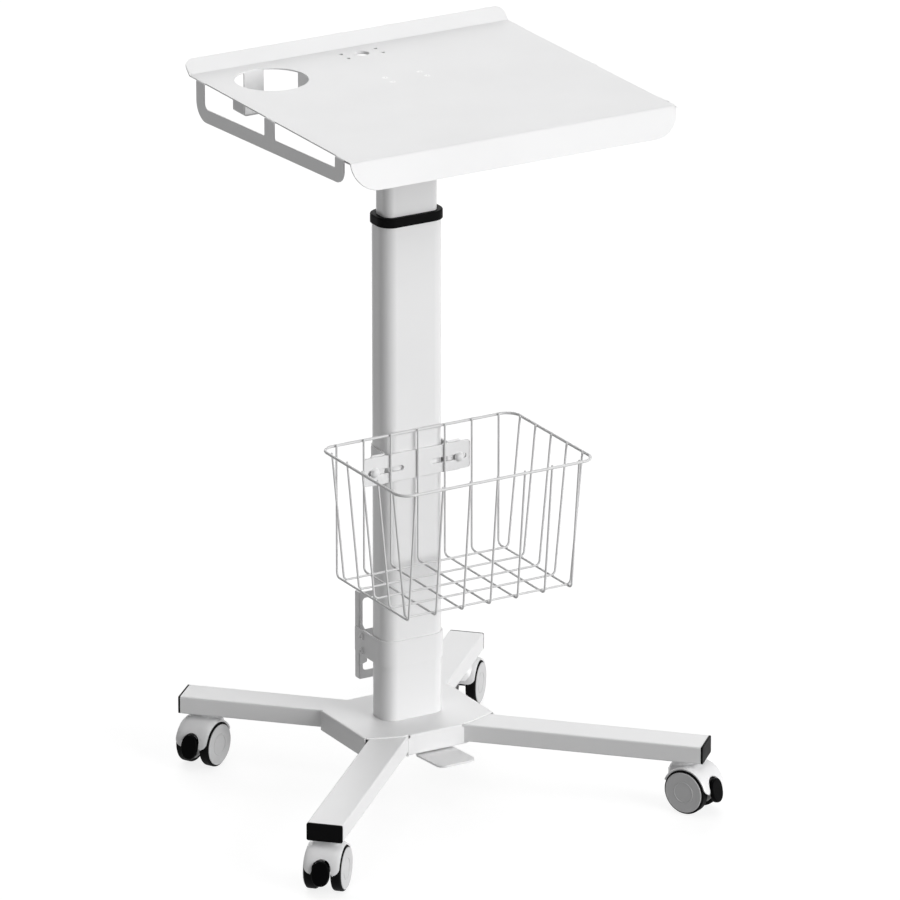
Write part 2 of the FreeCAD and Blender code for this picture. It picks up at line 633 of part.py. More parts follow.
cover = new_body("HubCover")
outline = new_sketch(cover, "XY_Plane", "cover_low", "Outline")
polygon(outline, octagon("cover_nose", "cover_depth", "cover_width", "cover_flank"))
pad(cover, outline, "leg_high + cover_sheet - cover_low")
inside = new_sketch(cover, "XY_Plane", "cover_low", "Inside")
polygon(inside, octagon("cover_nose - 0.18 * cover_sheet", "cover_depth - cover_sheet",
                        "cover_width - cover_sheet", "cover_flank - 0.7 * cover_sheet"))
pocket(cover, inside, "leg_high - cover_low")
opening = new_sketch(cover, "XY_Plane", "leg_high", "ColumnOpening")
rounded_rectangle(opening, "-outer_width / 2 - cover_gap", "outer_width / 2 + cover_gap",
                  "-outer_depth / 2 - cover_gap", "outer_depth / 2 + cover_gap", "outer_corner + cover_gap")
pocket(cover, opening)
for number, angle in enumerate((45, -45)):
    slot = new_sketch(cover, "XY_Plane", "cover_low", f"LegSlot{number}")
    diagonal_bar(slot, angle, "leg_width / 2 + cover_gap", "-2 * cover_width", "2 * cover_width")
    pocket(cover, slot, "leg_high - cover_low")


def cover_rim(edge):
    at = middle(edge)
    level = edge.BoundBox.ZLength < 0.01 and close(at.z, value("leg_high + cover_sheet"), 0.01)
    outside = abs(at.x) + abs(at.y) > value("outer_width / 2 + 15")
    return level and outside and edge.Curve.TypeId == "Part::GeomLine"


fillet(cover, "cover_rim", cover_rim, "Rim")
keep(cover, "hub_cover")

legs = {}
for label, angle, reach, swivel in LEGS:
    leg = new_body(f"Leg{len(legs)}")
    section = new_sketch(leg, "YZ_Plane", "leg_start", "Section")
    rounded_rectangle(section, "-leg_width / 2", "leg_width / 2", "leg_low", "leg_high", "leg_corner")
    rounded_rectangle(section, "-leg_width / 2 + leg_wall", "leg_width / 2 - leg_wall",
                      "leg_low + leg_wall", "leg_high - leg_wall", "leg_corner - leg_wall")
    pad(leg, section, f"{reach} - leg_start")
    holes(leg, "ScrewHoles", "XY_Plane", "leg_low", [("leg_screw_in", "0"), ("leg_screw_out", "0")],
          "screw_radius", "leg_wall")
    holes(leg, "StemHole", "XY_Plane", "leg_low", [(swivel, "0")], "thread_radius", "leg_wall")
    place(leg, angle=str(angle))
    legs[label] = leg
    keep(leg, f"leg_{label}")

caps = []
for label, angle, reach, swivel in LEGS:
    cap = new_body(f"Cap{len(caps)}")
    plug = new_sketch(cap, "YZ_Plane", f"{reach} - cap_plug", "Plug")
    rounded_rectangle(plug, "-leg_width / 2 + leg_wall", "leg_width / 2 - leg_wall",
                      "leg_low + leg_wall", "leg_high - leg_wall", "leg_corner - leg_wall")
    pad(cap, plug, "cap_plug")
    face = new_sketch(cap, "YZ_Plane", reach, "Face")
    rounded_rectangle(face, "-leg_width / 2", "leg_width / 2", "leg_low", "leg_high", "leg_corner")
    pad(cap, face, "cap_thick")
    place(cap, angle=str(angle))
    caps.append(cap)
keep(compound("Caps", caps), "leg_end_caps")


def screw(name, x, y, length):
    head = cylinder(f"{name}Head", "screw_head", "head_height", (x, y, "plate_low - head_height"))
    shank = cylinder(f"{name}Shank", "screw_radius", length, (x, y, "plate_low"))
    return fuse(name, [head, shank])


under = [screw(f"LegScrew{i}", x, y, "leg_low + leg_wall - plate_low")
         for i, (x, y) in enumerate(leg_screws)]
under += [screw(f"FootScrew{i}", x, y, "leg_low + foot_screw_depth - plate_low")
          for i, (x, y) in enumerate(foot_screws)]
keep(compound("HubScrews", under), "hub_screws")


# ---- height pedal ----

pedal = new_body("Pedal")
profile = new_sketch(pedal, "YZ_Plane", "0", "Profile")
top_line = [("pedal_tip_y", "pedal_tip"), ("pedal_bend_y", "pedal_bend"), ("pedal_arm_y", "pedal_arm"),
            ("pedal_end_y", "pedal_arm")]
polygon(profile, top_line + [(y, f"{z} - pedal_sheet") for y, z in reversed(top_line)])
pad(pedal, profile, "2 * pedal_half", symmetric=True)
for side in (-1, 1):
    waist = new_sketch(pedal, "XY_Plane", "pedal_arm", f"Waist{side + 1}")
    inner, outer = f"{side} * pedal_neck", f"{side} * (pedal_half + 5)"
    polygon(waist, [(inner, "pedal_arm_y"), (f"{side} * pedal_half", "pedal_bend_y"),
                    (outer, "pedal_bend_y"), (outer, "pedal_end_y + 5"), (inner, "pedal_end_y + 5")])
    pocket(pedal, waist)
fillet(pedal, "pedal_corner",
       lambda edge: along(edge, Z) and close(middle(edge).y, value("pedal_tip_y")), "Corners")
barrel = new_sketch(pedal, "YZ_Plane", "0", "Barrel")
circle(barrel, "pivot_y", "pivot_z", "barrel_radius")
pad(pedal, barrel, "2 * (ear_inner - 0.3)", symmetric=True)
holes(pedal, "PinHole", "YZ_Plane", "0", [("pivot_y", "pivot_z")], "pivot_radius + running")
keep(pedal, "pedal")

keep(cylinder("PedalPin", "pivot_radius", "2 * (ear_outer + 3)",
              ("-(ear_outer + 3)", "pivot_y", "pivot_z"), "X"), "pedal_pin")

brackets = []
for side in (-1, 1):
    bracket = new_body(f"Bracket{side + 1}")
    web = new_sketch(bracket, "YZ_Plane", f"{side} * ear_inner", "Web")
    polygon(web, [("ear_front", "plate_low"), ("ear_front", "plate_low - 4"), ("pivot_y - 7", "ear_low"),
                  ("pivot_y + 7", "ear_low"), ("ear_back", "plate_low - 4"), ("ear_back", "plate_low")])
    pad(bracket, web, "ear_outer - ear_inner", backwards=side < 0)
    flange = new_sketch(bracket, "XY_Plane", "plate_low - pedal_sheet", "Flange")
    near, far = f"{side} * ear_inner", f"{side} * ear_foot"
    polygon(flange, [(near, "ear_front"), (far, "ear_front"), (far, "ear_back"), (near, "ear_back")])
    pad(bracket, flange, "pedal_sheet")
    holes(bracket, "PinHole", "YZ_Plane", "0", [("pivot_y", "pivot_z")], "pivot_radius")
    brackets.append(bracket)
keep(compound("PedalBrackets", brackets), "pedal_brackets")


# ---- wire basket ----

rim = new_body("Rim")
path = new_sketch(rim, "XY_Plane", "rim_z", "Path")
rounded_rectangle(path, "-rim_half", "rim_half", "rim_front", "rim_back", "rim_corner")
section = new_sketch(rim, "YZ_Plane", "0", "Section")
circle(section, "rim_back", "rim_z", "rim_radius")
doc.recompute()
sweep = rim.newObject("PartDesign::AdditivePipe", "Rim_Sweep")
sweep.Profile = section
sweep.Spine = (path, [f"Edge{i}" for i in range(1, 9)])
doc.recompute()
keep(rim, "basket_rim")

wires = []
WIRE_TOP = "rim_z + rim_radius + 0.7"
INSIDE = "(rim_radius + wire_radius + 0.05)"
for number in range(-3, 4):
    shift = f"{number} * wire_pitch"
    back, front = f"rim_back - {INSIDE}", f"rim_front + {INSIDE}"
    run = [(back, WIRE_TOP), (back, "wire_low"), ("floor_front", "wire_low"), (front, WIRE_TOP)]
    wires.append(pipe(f"LongWire{number + 3}", "YZ_Plane", shift, run, "wire_bend",
                      (shift, back, WIRE_TOP), "wire_radius"))
for number in range(5):
    y = f"cross_first - {number} * cross_pitch"
    low, side = "wire_low + 2 * wire_radius + 0.1", f"rim_half - {INSIDE}"
    run = [(f"-({side})", WIRE_TOP), ("-floor_half", low), ("floor_half", low), (side, WIRE_TOP)]
    wires.append(pipe(f"CrossWire{number}", "XZ_Plane", f"-({y})", run, "wire_bend",
                      (f"-({side})", y, WIRE_TOP), "wire_radius"))
keep(compound("BasketWires", wires), "basket_wires")

mount = new_body("BasketPlate")
outline = new_sketch(mount, "XZ_Plane", "-plate_back", "Outline")
rounded_rectangle(outline, "-plate_x", "plate_x", "plate_z", "plate_z + plate_height", "4")
for side in (-1, 1):
    left, right = f"{side} * slot_x - slot_length / 2", f"{side} * slot_x + slot_length / 2"
    rounded_rectangle(outline, left, right, "slot_z - slot_height / 2", "slot_z + slot_height / 2",
                      "slot_height / 2 - 0.1")
pad(mount, outline, "plate_thick")
keep(mount, "basket_plate")


def strap(name, half, gap, sheet_size, closed_end, open_end, low, height):
    """A U of flat strip that lies against three sides of the column and runs straight at its open end."""
    way = 1 if value(open_end) > 0 else -1
    far = f"{open_end} + {way} * 60"
    body = new_body(name)
    for step, (x, end, stretch) in enumerate((
            (f"{half} + {gap} + {sheet_size}", f"{closed_end} - {way} * {sheet_size}", "0"),
            (f"{half} + {gap}", closed_end, "10"))):
        sketch = new_sketch(body, "XY_Plane", low, f"Side{step}")
        ends = [end, f"{far} + {way} * {stretch}"]
        corner = f"outer_corner + {gap}" if step else f"outer_corner + {gap} + {sheet_size}"
        rounded_rectangle(sketch, f"-({x})", x, *(ends if way > 0 else reversed(ends)), corner)
        if step:
            pocket(body, sketch)
        else:
            pad(body, sketch, height)
    trim = new_sketch(body, "XY_Plane", low, "Trim")
    trim_end = f"{far} + {way} * 5"
    polygon(trim, [("-100", open_end), ("100", open_end), ("100", trim_end), ("-100", trim_end)])
    pocket(body, trim)
    return body


CLAMP_Z, CLAMP_HEIGHT = "plate_z - 2", "plate_height + 4"
clamp = strap("Clamp", "outer_width / 2", "0", "clamp_sheet", "outer_depth / 2", "plate_back",
              CLAMP_Z, CLAMP_HEIGHT)
for side in (-1, 1):
    ear = new_sketch(clamp, "XZ_Plane", "-plate_back", f"Ear{side + 1}")
    near, far = f"{side} * (outer_width / 2)", f"{side} * clamp_ear"
    cut_in = f"{side} * (clamp_ear - 8)"
    polygon(ear, [(near, CLAMP_Z), (cut_in, CLAMP_Z), (far, f"{CLAMP_Z} + 8"),
                  (far, f"{CLAMP_Z} + {CLAMP_HEIGHT} - 8"), (cut_in, f"{CLAMP_Z} + {CLAMP_HEIGHT}"),
                  (near, f"{CLAMP_Z} + {CLAMP_HEIGHT}")])
    pad(clamp, ear, "clamp_sheet", backwards=True)
holes(clamp, "KnobHoles", "XZ_Plane", "-plate_back", [(f"{s} * knob_x", "slot_z") for s in (-1, 1)],
      "screw_radius", "clamp_sheet + 1", upwards=False)
keep(clamp, "basket_clamp")



def knob_rim(edge):
    return close(edge.BoundBox.YMin, value("plate_back - plate_thick - knob_height"))


knobs = []
for side in (-1, 1):
    knob = new_body(f"Knob{side + 1}")
    head = new_sketch(knob, "XZ_Plane", "-(plate_back - plate_thick)", "Head")
    circle(head, f"{side} * knob_x", "slot_z", "knob_radius")
    pad(knob, head, "knob_height")
    fillet(knob, "knob_height - 0.6", knob_rim, "Dome")
    shank = new_sketch(knob, "XZ_Plane", "-(plate_back - plate_thick)", "Shank")
    circle(shank, f"{side} * knob_x", "slot_z", "screw_radius")
    pad(knob, shank, "plate_thick + clamp_sheet", backwards=True)
    nut = new_sketch(knob, "XZ_Plane", "-(plate_back + clamp_sheet)", "Nut")
    circle(nut, f"{side} * knob_x", "slot_z", "screw_head")
    pad(knob, nut, "4", backwards=True)
    knobs.append(knob)
keep(compound("BasketScrews", knobs), "basket_screws")


# ---- cable holder behind the column ----

band = strap("Band", "strap_half", "0", "strap_sheet", "-(outer_depth / 2)", "strap_back", "strap_low",
             "strap_high - strap_low")
SCREW_ROWS = [("holder_screw_y", "holder_screw_low"), ("holder_screw_y", "holder_screw_high")]
holes(band, "ScrewHoles", "YZ_Plane", "0", SCREW_ROWS, "holder_shank")
keep(band, "holder_band")

holder = new_body("Holder")
face = new_sketch(holder, "XZ_Plane", "-holder_y", "Face")
polygon(face, [("-strap_half", "holder_low"), ("strap_half", "holder_low"), ("strap_half", "holder_high"),
               ("-strap_half", "holder_high")])
EDGE = "strap_half - holder_edge"
rounded_rectangle(face, f"-({EDGE})", EDGE, "web_high", "holder_high - holder_bar", "holder_window_corner")
rounded_rectangle(face, f"-({EDGE})", EDGE, "holder_low + holder_bar + 3", "web_low + 4",
                  "holder_window_corner")
pad(holder, face, "strap_sheet", backwards=True)
for side in (-1, 1):
    flange = new_sketch(holder, "YZ_Plane", f"{side} * strap_half", f"Flange{side + 1}")
    polygon(flange, [("holder_flange", "holder_low"), ("holder_flange", "holder_high"),
                     ("holder_y", "holder_high"), ("holder_y", "strap_high + 10"),
                     ("gusset_y", "strap_high - 4"), ("gusset_y", "strap_low - 8"),
                     ("holder_y", "strap_low - 19"), ("holder_y", "holder_low")])
    pad(holder, flange, "strap_sheet", backwards=side > 0)
holes(holder, "ScrewHoles", "YZ_Plane", "0", SCREW_ROWS, "holder_shank")
keep(holder, "holder_plate")

sockets = []
for side in (-1, 1):
    for number, (y, z) in enumerate(SCREW_ROWS):
        bolt = new_body(f"Socket{side + 1}{number}")
        head = new_sketch(bolt, "YZ_Plane", f"{side} * (strap_half + strap_sheet)", "Head")
        circle(head, y, z, "screw_head")
        pad(bolt, head, "head_height", backwards=side < 0)
        shank = new_sketch(bolt, "YZ_Plane", f"{side} * (strap_half + strap_sheet)", "Shank")
        circle(shank, y, z, "holder_shank")
        pad(bolt, shank, "2 * strap_sheet + 3", backwards=side > 0)
        holes(bolt, "Socket", "YZ_Plane", f"{side} * (strap_half + strap_sheet + head_height)", [(y, z)],
              "screw_head / 2", "head_height / 2", upwards=side < 0)
        sockets.append(bolt)
keep(compound("HolderScrews", sockets), "holder_screws")


# ---- twin-wheel casters, each in its own frame: swivel axis Z, brake lever towards -Y ----

CASTERS = (("front_left", -135, "front_swivel", -45), ("front_right", -45, "front_swivel", 26.5),
           ("rear_left", 135, "back_swivel", -60.5), ("rear_right", 45, "back_swivel", 135))
AXLE = ("-axle_back", "axle_z")


def arc_sector(sketch, radius, start, end):
    """A pie slice round the axle from start to end degrees, measured from straight back (+Y) upwards."""
    centre = Vector(value(AXLE[0]), value(AXLE[1]), 0)
    r = value(radius)
    spread = [math.radians(value(start)), math.radians(value(end))]
    arc = sketch.addGeometry(Part.ArcOfCircle(Part.Circle(centre, Vector(0, 0, 1), r), *spread))
    ends = [centre + Vector(r * math.cos(a), r * math.sin(a), 0) for a in spread]
    first = sketch.addGeometry(Part.LineSegment(centre, ends[0]))
    last = sketch.addGeometry(Part.LineSegment(ends[1], centre))
    for a, b, c, d in ((first, 2, arc, 1), (arc, 2, last, 1), (last, 2, first, 1), (arc, 3, first, 1)):
        sketch.addConstraint(Sketcher.Constraint("Coincident", a, b, c, d))
    fix_point(sketch, first, 1, *AXLE)
    number = sketch.addConstraint(Sketcher.Constraint("Radius", arc, r))
    sketch.setExpression(f"Constraints[{number}]", bound(radius))
    for end_point, angle in ((1, start), (2, end)):
        number = sketch.addConstraint(Sketcher.Constraint(
            "DistanceX", -1, 1, arc, end_point, value(f"{AXLE[0]} + ({radius}) * cos({angle})")))
        sketch.setExpression(f"Constraints[{number}]", bound(f"{AXLE[0]} + ({radius}) * cos({angle})"))


def hood(name):
    body = new_body(name)
    boss = new_sketch(body, "XY_Plane", "axle_z", "Boss")
    circle(boss, "0", "0", "boss_radius")
    pad(body, boss, "boss_top - axle_z")
    slice_of = new_sketch(body, "YZ_Plane", "0", "Shell")
    arc_sector(slice_of, "hood_radius", "hood_rear", "hood_front")
    pad(body, slice_of, "2 * hood_half", symmetric=True)
    holes(body, "WheelSpace", "YZ_Plane", "0", [AXLE], "hood_inner")
    arch = new_sketch(body, "XZ_Plane", "axle_back + hood_radius + 4", "Arch")
    rounded_rectangle(arch, "-arch_half", "arch_half", "axle_z - 20", "axle_z + arch_top", "arch_corner")
    pocket(body, arch, "hood_radius / 2", upwards=False)

    def lobe(edge):
        outside = close(abs(middle(edge).x), value("hood_half"), 0.01)
        return outside and close(edge.Length, value("hood_radius - hood_inner"), 0.01)

    fillet(body, "lobe_corner", lobe, "Lobes")
    for side in (-1, 1):
        cheek = new_sketch(body, "YZ_Plane", f"{side} * cheek_in", f"Cheek{side + 1}")
        polygon(cheek, [("-axle_back - 9", "axle_z"), ("-axle_back - 5", "axle_z - 8"),
                        ("-axle_back + 5", "axle_z - 8"), ("-axle_back + 9", "axle_z"),
                        ("12", "axle_z + 22"), ("-axle_back + 20", "axle_z + 28"),
                        ("-axle_back - 10", "axle_z + hood_inner"), ("-axle_back - 12", "axle_z + 20")])
        pad(body, cheek, "cheek_out - cheek_in", backwards=side < 0)
    neck = new_sketch(body, "XY_Plane", "neck_low", "Neck")
    circle(neck, "0", "0", "cheek_out")
    pad(body, neck, "boss_top - neck_low")
    holes(body, "StemBore", "XY_Plane", "boss_top", [("0", "0")], "stem_radius + running",
          "boss_top - neck_low + 2", upwards=False)
    holes(body, "AxleHole", "YZ_Plane", "0", [AXLE], "axle_radius")
    return body


def wheel(name, side):
    body = new_body(name)
    core = new_sketch(body, "YZ_Plane", f"{side} * tyre_in", "Core")
    circle(core, *AXLE, "tyre_inner")
    pad(body, core, "tyre_out - tyre_in", backwards=side < 0)
    disc = new_sketch(body, "YZ_Plane", f"{side} * tyre_out", "Disc")
    circle(disc, *AXLE, "disc_radius")
    pad(body, disc, "disc_out - tyre_out", backwards=side < 0)

    def rim_edge(edge):
        outer = close(middle(edge).x, side * value("disc_out"), 0.01)
        return outer and close(edge.Curve.Radius, value("disc_radius"), 0.01)

    fillet(body, "0.8", rim_edge, "Edge")
    holes(body, "Bore", "YZ_Plane", f"{side} * tyre_in", [AXLE], "axle_radius + running",
          "tyre_out - tyre_in", upwards=side > 0)
    return body


def tyre(name, side):
    body = new_body(name)
    ring_sketch = new_sketch(body, "YZ_Plane", f"{side} * tyre_in", "Ring")
    circle(ring_sketch, *AXLE, "tyre_radius")
    circle(ring_sketch, *AXLE, "tyre_inner")
    pad(body, ring_sketch, "tyre_out - tyre_in", backwards=side < 0)

    def shoulder(edge):
        round_edge = edge.Curve.TypeId == "Part::GeomCircle"
        return round_edge and close(edge.Curve.Radius, value("tyre_radius"), 0.01)

    fillet(body, "tyre_round", shoulder, "Shoulders")
    return body


def lever(name):
    body = new_body(name)
    centre = ("-axle_back - pad_reach", "axle_z + pad_lift")

    def at(out, up):
        return (f"{centre[0]} - ({out}) * cos(pad_lean) + ({up}) * sin(pad_lean)",
                f"{centre[1]} + ({out}) * sin(pad_lean) + ({up}) * cos(pad_lean)")

    face = new_sketch(body, "YZ_Plane", "0", "Pad")
    t, h = "pad_thick / 2", "pad_height / 2"
    polygon(face, [at(t, h), at(t, f"-{h}"), at(f"-{t}", f"-{h}"), at(f"-{t}", h)])
    pad(body, face, "pad_width", symmetric=True)
    lean = math.radians(value("pad_lean"))
    outward = Vector(0, -math.cos(lean), math.sin(lean))
    fillet(body, "pad_width / 2 - 0.3", lambda edge: along(edge, outward, 1e-3), "Ends")
    arm = new_sketch(body, "YZ_Plane", "0", "Arm")
    polygon(arm, [("-axle_back", "axle_z - 4"), ("-axle_back", "axle_z + 5"), at("0", "4"), at("0", "-4")])
    pad(body, arm, "2 * lever_half", symmetric=True)
    eye = new_sketch(body, "YZ_Plane", "0", "Eye")
    circle(eye, *AXLE, "lever_eye")
    pad(body, eye, "2 * lever_half", symmetric=True)
    holes(body, "Bore", "YZ_Plane", "0", [AXLE], "axle_radius + running")
    return body


stems = []
for label, angle, swivel, turn in CASTERS:
    x, y = polar(swivel, angle)
    pieces = [
        (hood(f"Hood_{label}"), f"caster_{label}_hood"),
        (lever(f"Lever_{label}"), f"caster_{label}_lever"),
        (wheel(f"WheelL_{label}", -1), f"caster_{label}_wheel_l"),
        (wheel(f"WheelR_{label}", 1), f"caster_{label}_wheel_r"),
        (tyre(f"TyreL_{label}", -1), f"caster_{label}_tyre_l"),
        (tyre(f"TyreR_{label}", 1), f"caster_{label}_tyre_r"),
    ]
    axle = new_body(f"Axle_{label}")
    rod = new_sketch(axle, "YZ_Plane", "0", "Rod")
    circle(rod, *AXLE, "axle_radius")
    pad(axle, rod, "2 * axle_half", symmetric=True)
    pieces.append((axle, f"caster_{label}_axle"))
    for piece, node in pieces:
        place(piece, x, y, angle=str(turn))
        keep(piece, node)
    pin = cylinder(f"StemPin_{label}", "stem_radius", "leg_low - stem_low", (x, y, "stem_low"))
    washer = cylinder(f"StemWasher_{label}", "stem_washer", "leg_low - boss_top - 0.3",
                      (x, y, "boss_top + 0.3"))
    thread = cylinder(f"StemThread_{label}", "thread_radius", "thread_top - leg_low", (x, y, "leg_low"))
    nut = doc.addObject("Part::Prism", f"StemNut_{label}")
    nut.Polygon = 6
    nut.setExpression("Circumradius", bound("thread_radius * 1.9"))
    nut.setExpression("Height", bound("8"))
    place(nut, x, y, "leg_low + leg_wall", angle=str(angle))
    stems.append(fuse(f"Stem_{label}", [pin, washer, thread, nut]))
keep(compound("Stems", stems), "caster_stems")


# ---- checks and export ----

doc.recompute()
for thing in doc.Objects:
    if "Invalid" in thing.State or "Error" in thing.State:
        raise RuntimeError(f"{thing.Name}: {thing.State}")
os.makedirs("parts", exist_ok=True)
for node in nodes:
    shape = node.Shape
    if shape.isNull() or not shape.isValid() or not shape.Solids:
        raise RuntimeError(f"{node.Label} has no valid solid")
    shape.exportStep(f"parts/{node.Label}.step")
    bounds = shape.BoundBox
    print(f"{node.Label:28} {len(shape.Solids):3} X {bounds.XMin:8.1f} {bounds.XMax:8.1f}"
          f" Y {bounds.YMin:8.1f} {bounds.YMax:8.1f} Z {bounds.ZMin:8.1f} {bounds.ZMax:8.1f}")
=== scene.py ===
import json
import math

import bmesh
import bpy
from mathutils import Matrix, Vector


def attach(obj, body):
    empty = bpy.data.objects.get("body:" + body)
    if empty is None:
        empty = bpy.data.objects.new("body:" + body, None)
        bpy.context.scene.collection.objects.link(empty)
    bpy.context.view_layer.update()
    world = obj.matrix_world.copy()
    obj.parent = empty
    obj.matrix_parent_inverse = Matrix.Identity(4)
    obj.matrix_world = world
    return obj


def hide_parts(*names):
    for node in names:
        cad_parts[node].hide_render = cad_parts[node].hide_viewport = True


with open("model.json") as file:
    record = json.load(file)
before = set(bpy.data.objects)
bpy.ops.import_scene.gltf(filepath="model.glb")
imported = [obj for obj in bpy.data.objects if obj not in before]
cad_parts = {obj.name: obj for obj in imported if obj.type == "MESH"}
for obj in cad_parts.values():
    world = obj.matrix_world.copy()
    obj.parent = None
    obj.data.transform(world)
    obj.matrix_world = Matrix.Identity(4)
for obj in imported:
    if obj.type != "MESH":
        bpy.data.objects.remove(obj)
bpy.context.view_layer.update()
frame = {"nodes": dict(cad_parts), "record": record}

MM = 0.001


# ---- materials ----

def tree(name):
    """A new material and the parts of its node tree that every finish uses."""
    mat = bpy.data.materials.new(name)
    mat.use_nodes = True
    nodes, links = mat.node_tree.nodes, mat.node_tree.links
    shader = next(n for n in nodes if n.type == "BSDF_PRINCIPLED")
    place = nodes.new("ShaderNodeTexCoord")
    return mat, nodes, links, shader, place.outputs["Object"]


def noise(nodes, links, where, scale, detail=2.0, rough=0.5):
    """A noise over the object's own metres."""
    node = nodes.new("ShaderNodeTexNoise")
    node.inputs["Scale"].default_value = scale
    node.inputs["Detail"].default_value = detail
    node.inputs["Roughness"].default_value = rough
    links.new(where, node.inputs["Vector"])
    return node.outputs["Fac"]


def spread(nodes, links, source, low, high, start=0.3, end=0.7):
    """Maps a noise's start to end to the values low to high."""
    node = nodes.new("ShaderNodeMapRange")
    for key, number in (("From Min", start), ("From Max", end), ("To Min", low), ("To Max", high)):
        node.inputs[key].default_value = number
    links.new(source, node.inputs["Value"])
    return node.outputs["Result"]


def tints(nodes, links, source, colours, start=0.35, end=0.65):
    """Colours spread along a noise."""
    ramp = nodes.new("ShaderNodeValToRGB")
    elements = ramp.color_ramp.elements
    for i, colour in enumerate(colours):
        at = start + (end - start) * i / (len(colours) - 1)
        element = elements[i] if i < 2 else elements.new(at)
        element.position = at
        element.color = (*colour, 1)
    links.new(source, ramp.inputs["Fac"])
    return ramp.outputs["Color"]


def bump(nodes, links, shader, layers):
    """Stacks bumps, each (height source, strength, distance in metres), on the shader's normal."""
    normal = None
    for source, strength, distance in layers:
        node = nodes.new("ShaderNodeBump")
        node.inputs["Strength"].default_value = strength
        node.inputs["Distance"].default_value = distance
        links.new(source, node.inputs["Height"])
        if normal:
            links.new(normal, node.inputs["Normal"])
        normal = node.outputs["Normal"]
    links.new(normal, shader.inputs["Normal"])


def scaled(colour, factor):
    """A colour made lighter or darker."""
    return tuple(min(1.0, c * factor) for c in colour)


def powder_coat(name, colour, rough, texture=0.10, coat=0.0):
    """Powder coat: orange peel, faint specks and a little unevenness in tone and gloss."""
    mat, nodes, links, shader, at = tree(name)
    wide = noise(nodes, links, at, 7, 3)
    links.new(tints(nodes, links, wide, (scaled(colour, 0.975), colour)), shader.inputs["Base Color"])
    patchy = noise(nodes, links, at, 45, 4)
    links.new(spread(nodes, links, patchy, rough - 0.02, rough + 0.025, 0.2, 0.8), shader.inputs["Roughness"])
    peel = noise(nodes, links, at, 620, 2)
    grit = noise(nodes, links, at, 2600, 1)
    bump(nodes, links, shader, [(peel, texture, 0.0004), (grit, texture * 0.5, 0.0001)])
    shader.inputs["Coat Weight"].default_value = coat
    shader.inputs["Coat Roughness"].default_value = 0.25
    return mat


def moulded(name, colour, rough, texture=0.12, high=1.25, gloss=0.5):
    """Moulded plastic with a fine spark-eroded texture."""
    mat, nodes, links, shader, at = tree(name)
    mottle = noise(nodes, links, at, 60, 4)
    links.new(tints(nodes, links, mottle, (colour, scaled(colour, high))), shader.inputs["Base Color"])
    haze = noise(nodes, links, at, 25, 3)
    links.new(spread(nodes, links, haze, rough - 0.06, rough + 0.06), shader.inputs["Roughness"])
    spark = noise(nodes, links, at, 1500, 2)
    bump(nodes, links, shader, [(spark, texture, 0.0002)])
    shader.inputs["Specular IOR Level"].default_value = gloss
    return mat


def metal(name, colour, rough, lines=(1, 1, 1)):
    """Plated or drawn steel: fine scratches stretched along the axis with the smallest number."""
    mat, nodes, links, shader, at = tree(name)
    stretch = nodes.new("ShaderNodeMapping")
    stretch.inputs["Scale"].default_value = lines
    links.new(at, stretch.inputs["Vector"])
    grain = noise(nodes, links, stretch.outputs["Vector"], 900, 3)
    cloud = noise(nodes, links, at, 90, 3)
    links.new(tints(nodes, links, cloud, (scaled(colour, 0.88), colour)), shader.inputs["Base Color"])
    links.new(spread(nodes, links, grain, rough - 0.08, rough + 0.10), shader.inputs["Roughness"])
    bump(nodes, links, shader, [(grain, 0.06, 0.0001)])
    shader.inputs["Metallic"].default_value = 1.0
    return mat


def rubber(name, colour):
    """Tyre rubber with fine mould texture and a dusty bloom."""
    mat, nodes, links, shader, at = tree(name)
    bloom = noise(nodes, links, at, 130, 5, 0.6)
    links.new(tints(nodes, links, bloom, (colour, scaled(colour, 1.4))), shader.inputs["Base Color"])
    links.new(spread(nodes, links, bloom, 0.48, 0.62), shader.inputs["Roughness"])
    pores = noise(nodes, links, at, 1900, 2)
    scuffs = noise(nodes, links, at, 240, 4)
    bump(nodes, links, shader, [(pores, 0.15, 0.0002), (scuffs, 0.08, 0.0004)])
    shader.inputs["Specular IOR Level"].default_value = 0.04
    return mat


WHITE = (0.85, 0.85, 0.853)
# The finish of each of the record's material slots, and a near-white on the deck's screw heads, whiter than the
# deck, that paints in their highlights.
PAINT = {
    "tray_paint": powder_coat("tray_powder_coat", WHITE, 0.46),
    "frame_paint": powder_coat("frame_powder_coat", WHITE, 0.42),
    "column_aluminium": powder_coat("column_coat", WHITE, 0.30, 0.06, 0.25),
    "wire_coat": powder_coat("wire_coat", scaled(WHITE, 0.86), 0.33, 0.05),
    "black_plastic": moulded("black_moulding", (0.004, 0.004, 0.0042), 0.45, gloss=0.03),
    "lever_plastic": moulded("lever_moulding", (0.002, 0.002, 0.0022), 0.42, gloss=0.03),
    "hood_plastic": moulded("hood_moulding", (0.90, 0.90, 0.905), 0.20, 0.04, 1.02),
    "disc_plastic": moulded("disc_moulding", (0.60, 0.60, 0.605), 0.36, 0.06, 1.03),
    "glide_plastic": moulded("glide_moulding", (0.55, 0.55, 0.54), 0.45, 0.10, 1.05),
    # Painted highlight: the screw heads are coloured whiter than the deck so that they show as bright marks.
    "screw_highlight_paint": powder_coat("screw_painted_highlight", (0.99, 0.99, 0.99), 0.30, 0.04, 0.2),
    "tyre": rubber("tyre_rubber", (0.005, 0.005, 0.0053)),
    "steel": metal("zinc_steel", (0.62, 0.63, 0.65), 0.34),
    "chrome": metal("ground_chrome", (0.75, 0.75, 0.77), 0.12, (1, 1, 0.1)),
}


# ---- mesh tools; shapes are drawn in millimetres ----

def added(name, data):
    """A new object in the scene."""
    obj = bpy.data.objects.new(name, data)
    bpy.context.scene.collection.objects.link(obj)
    return obj


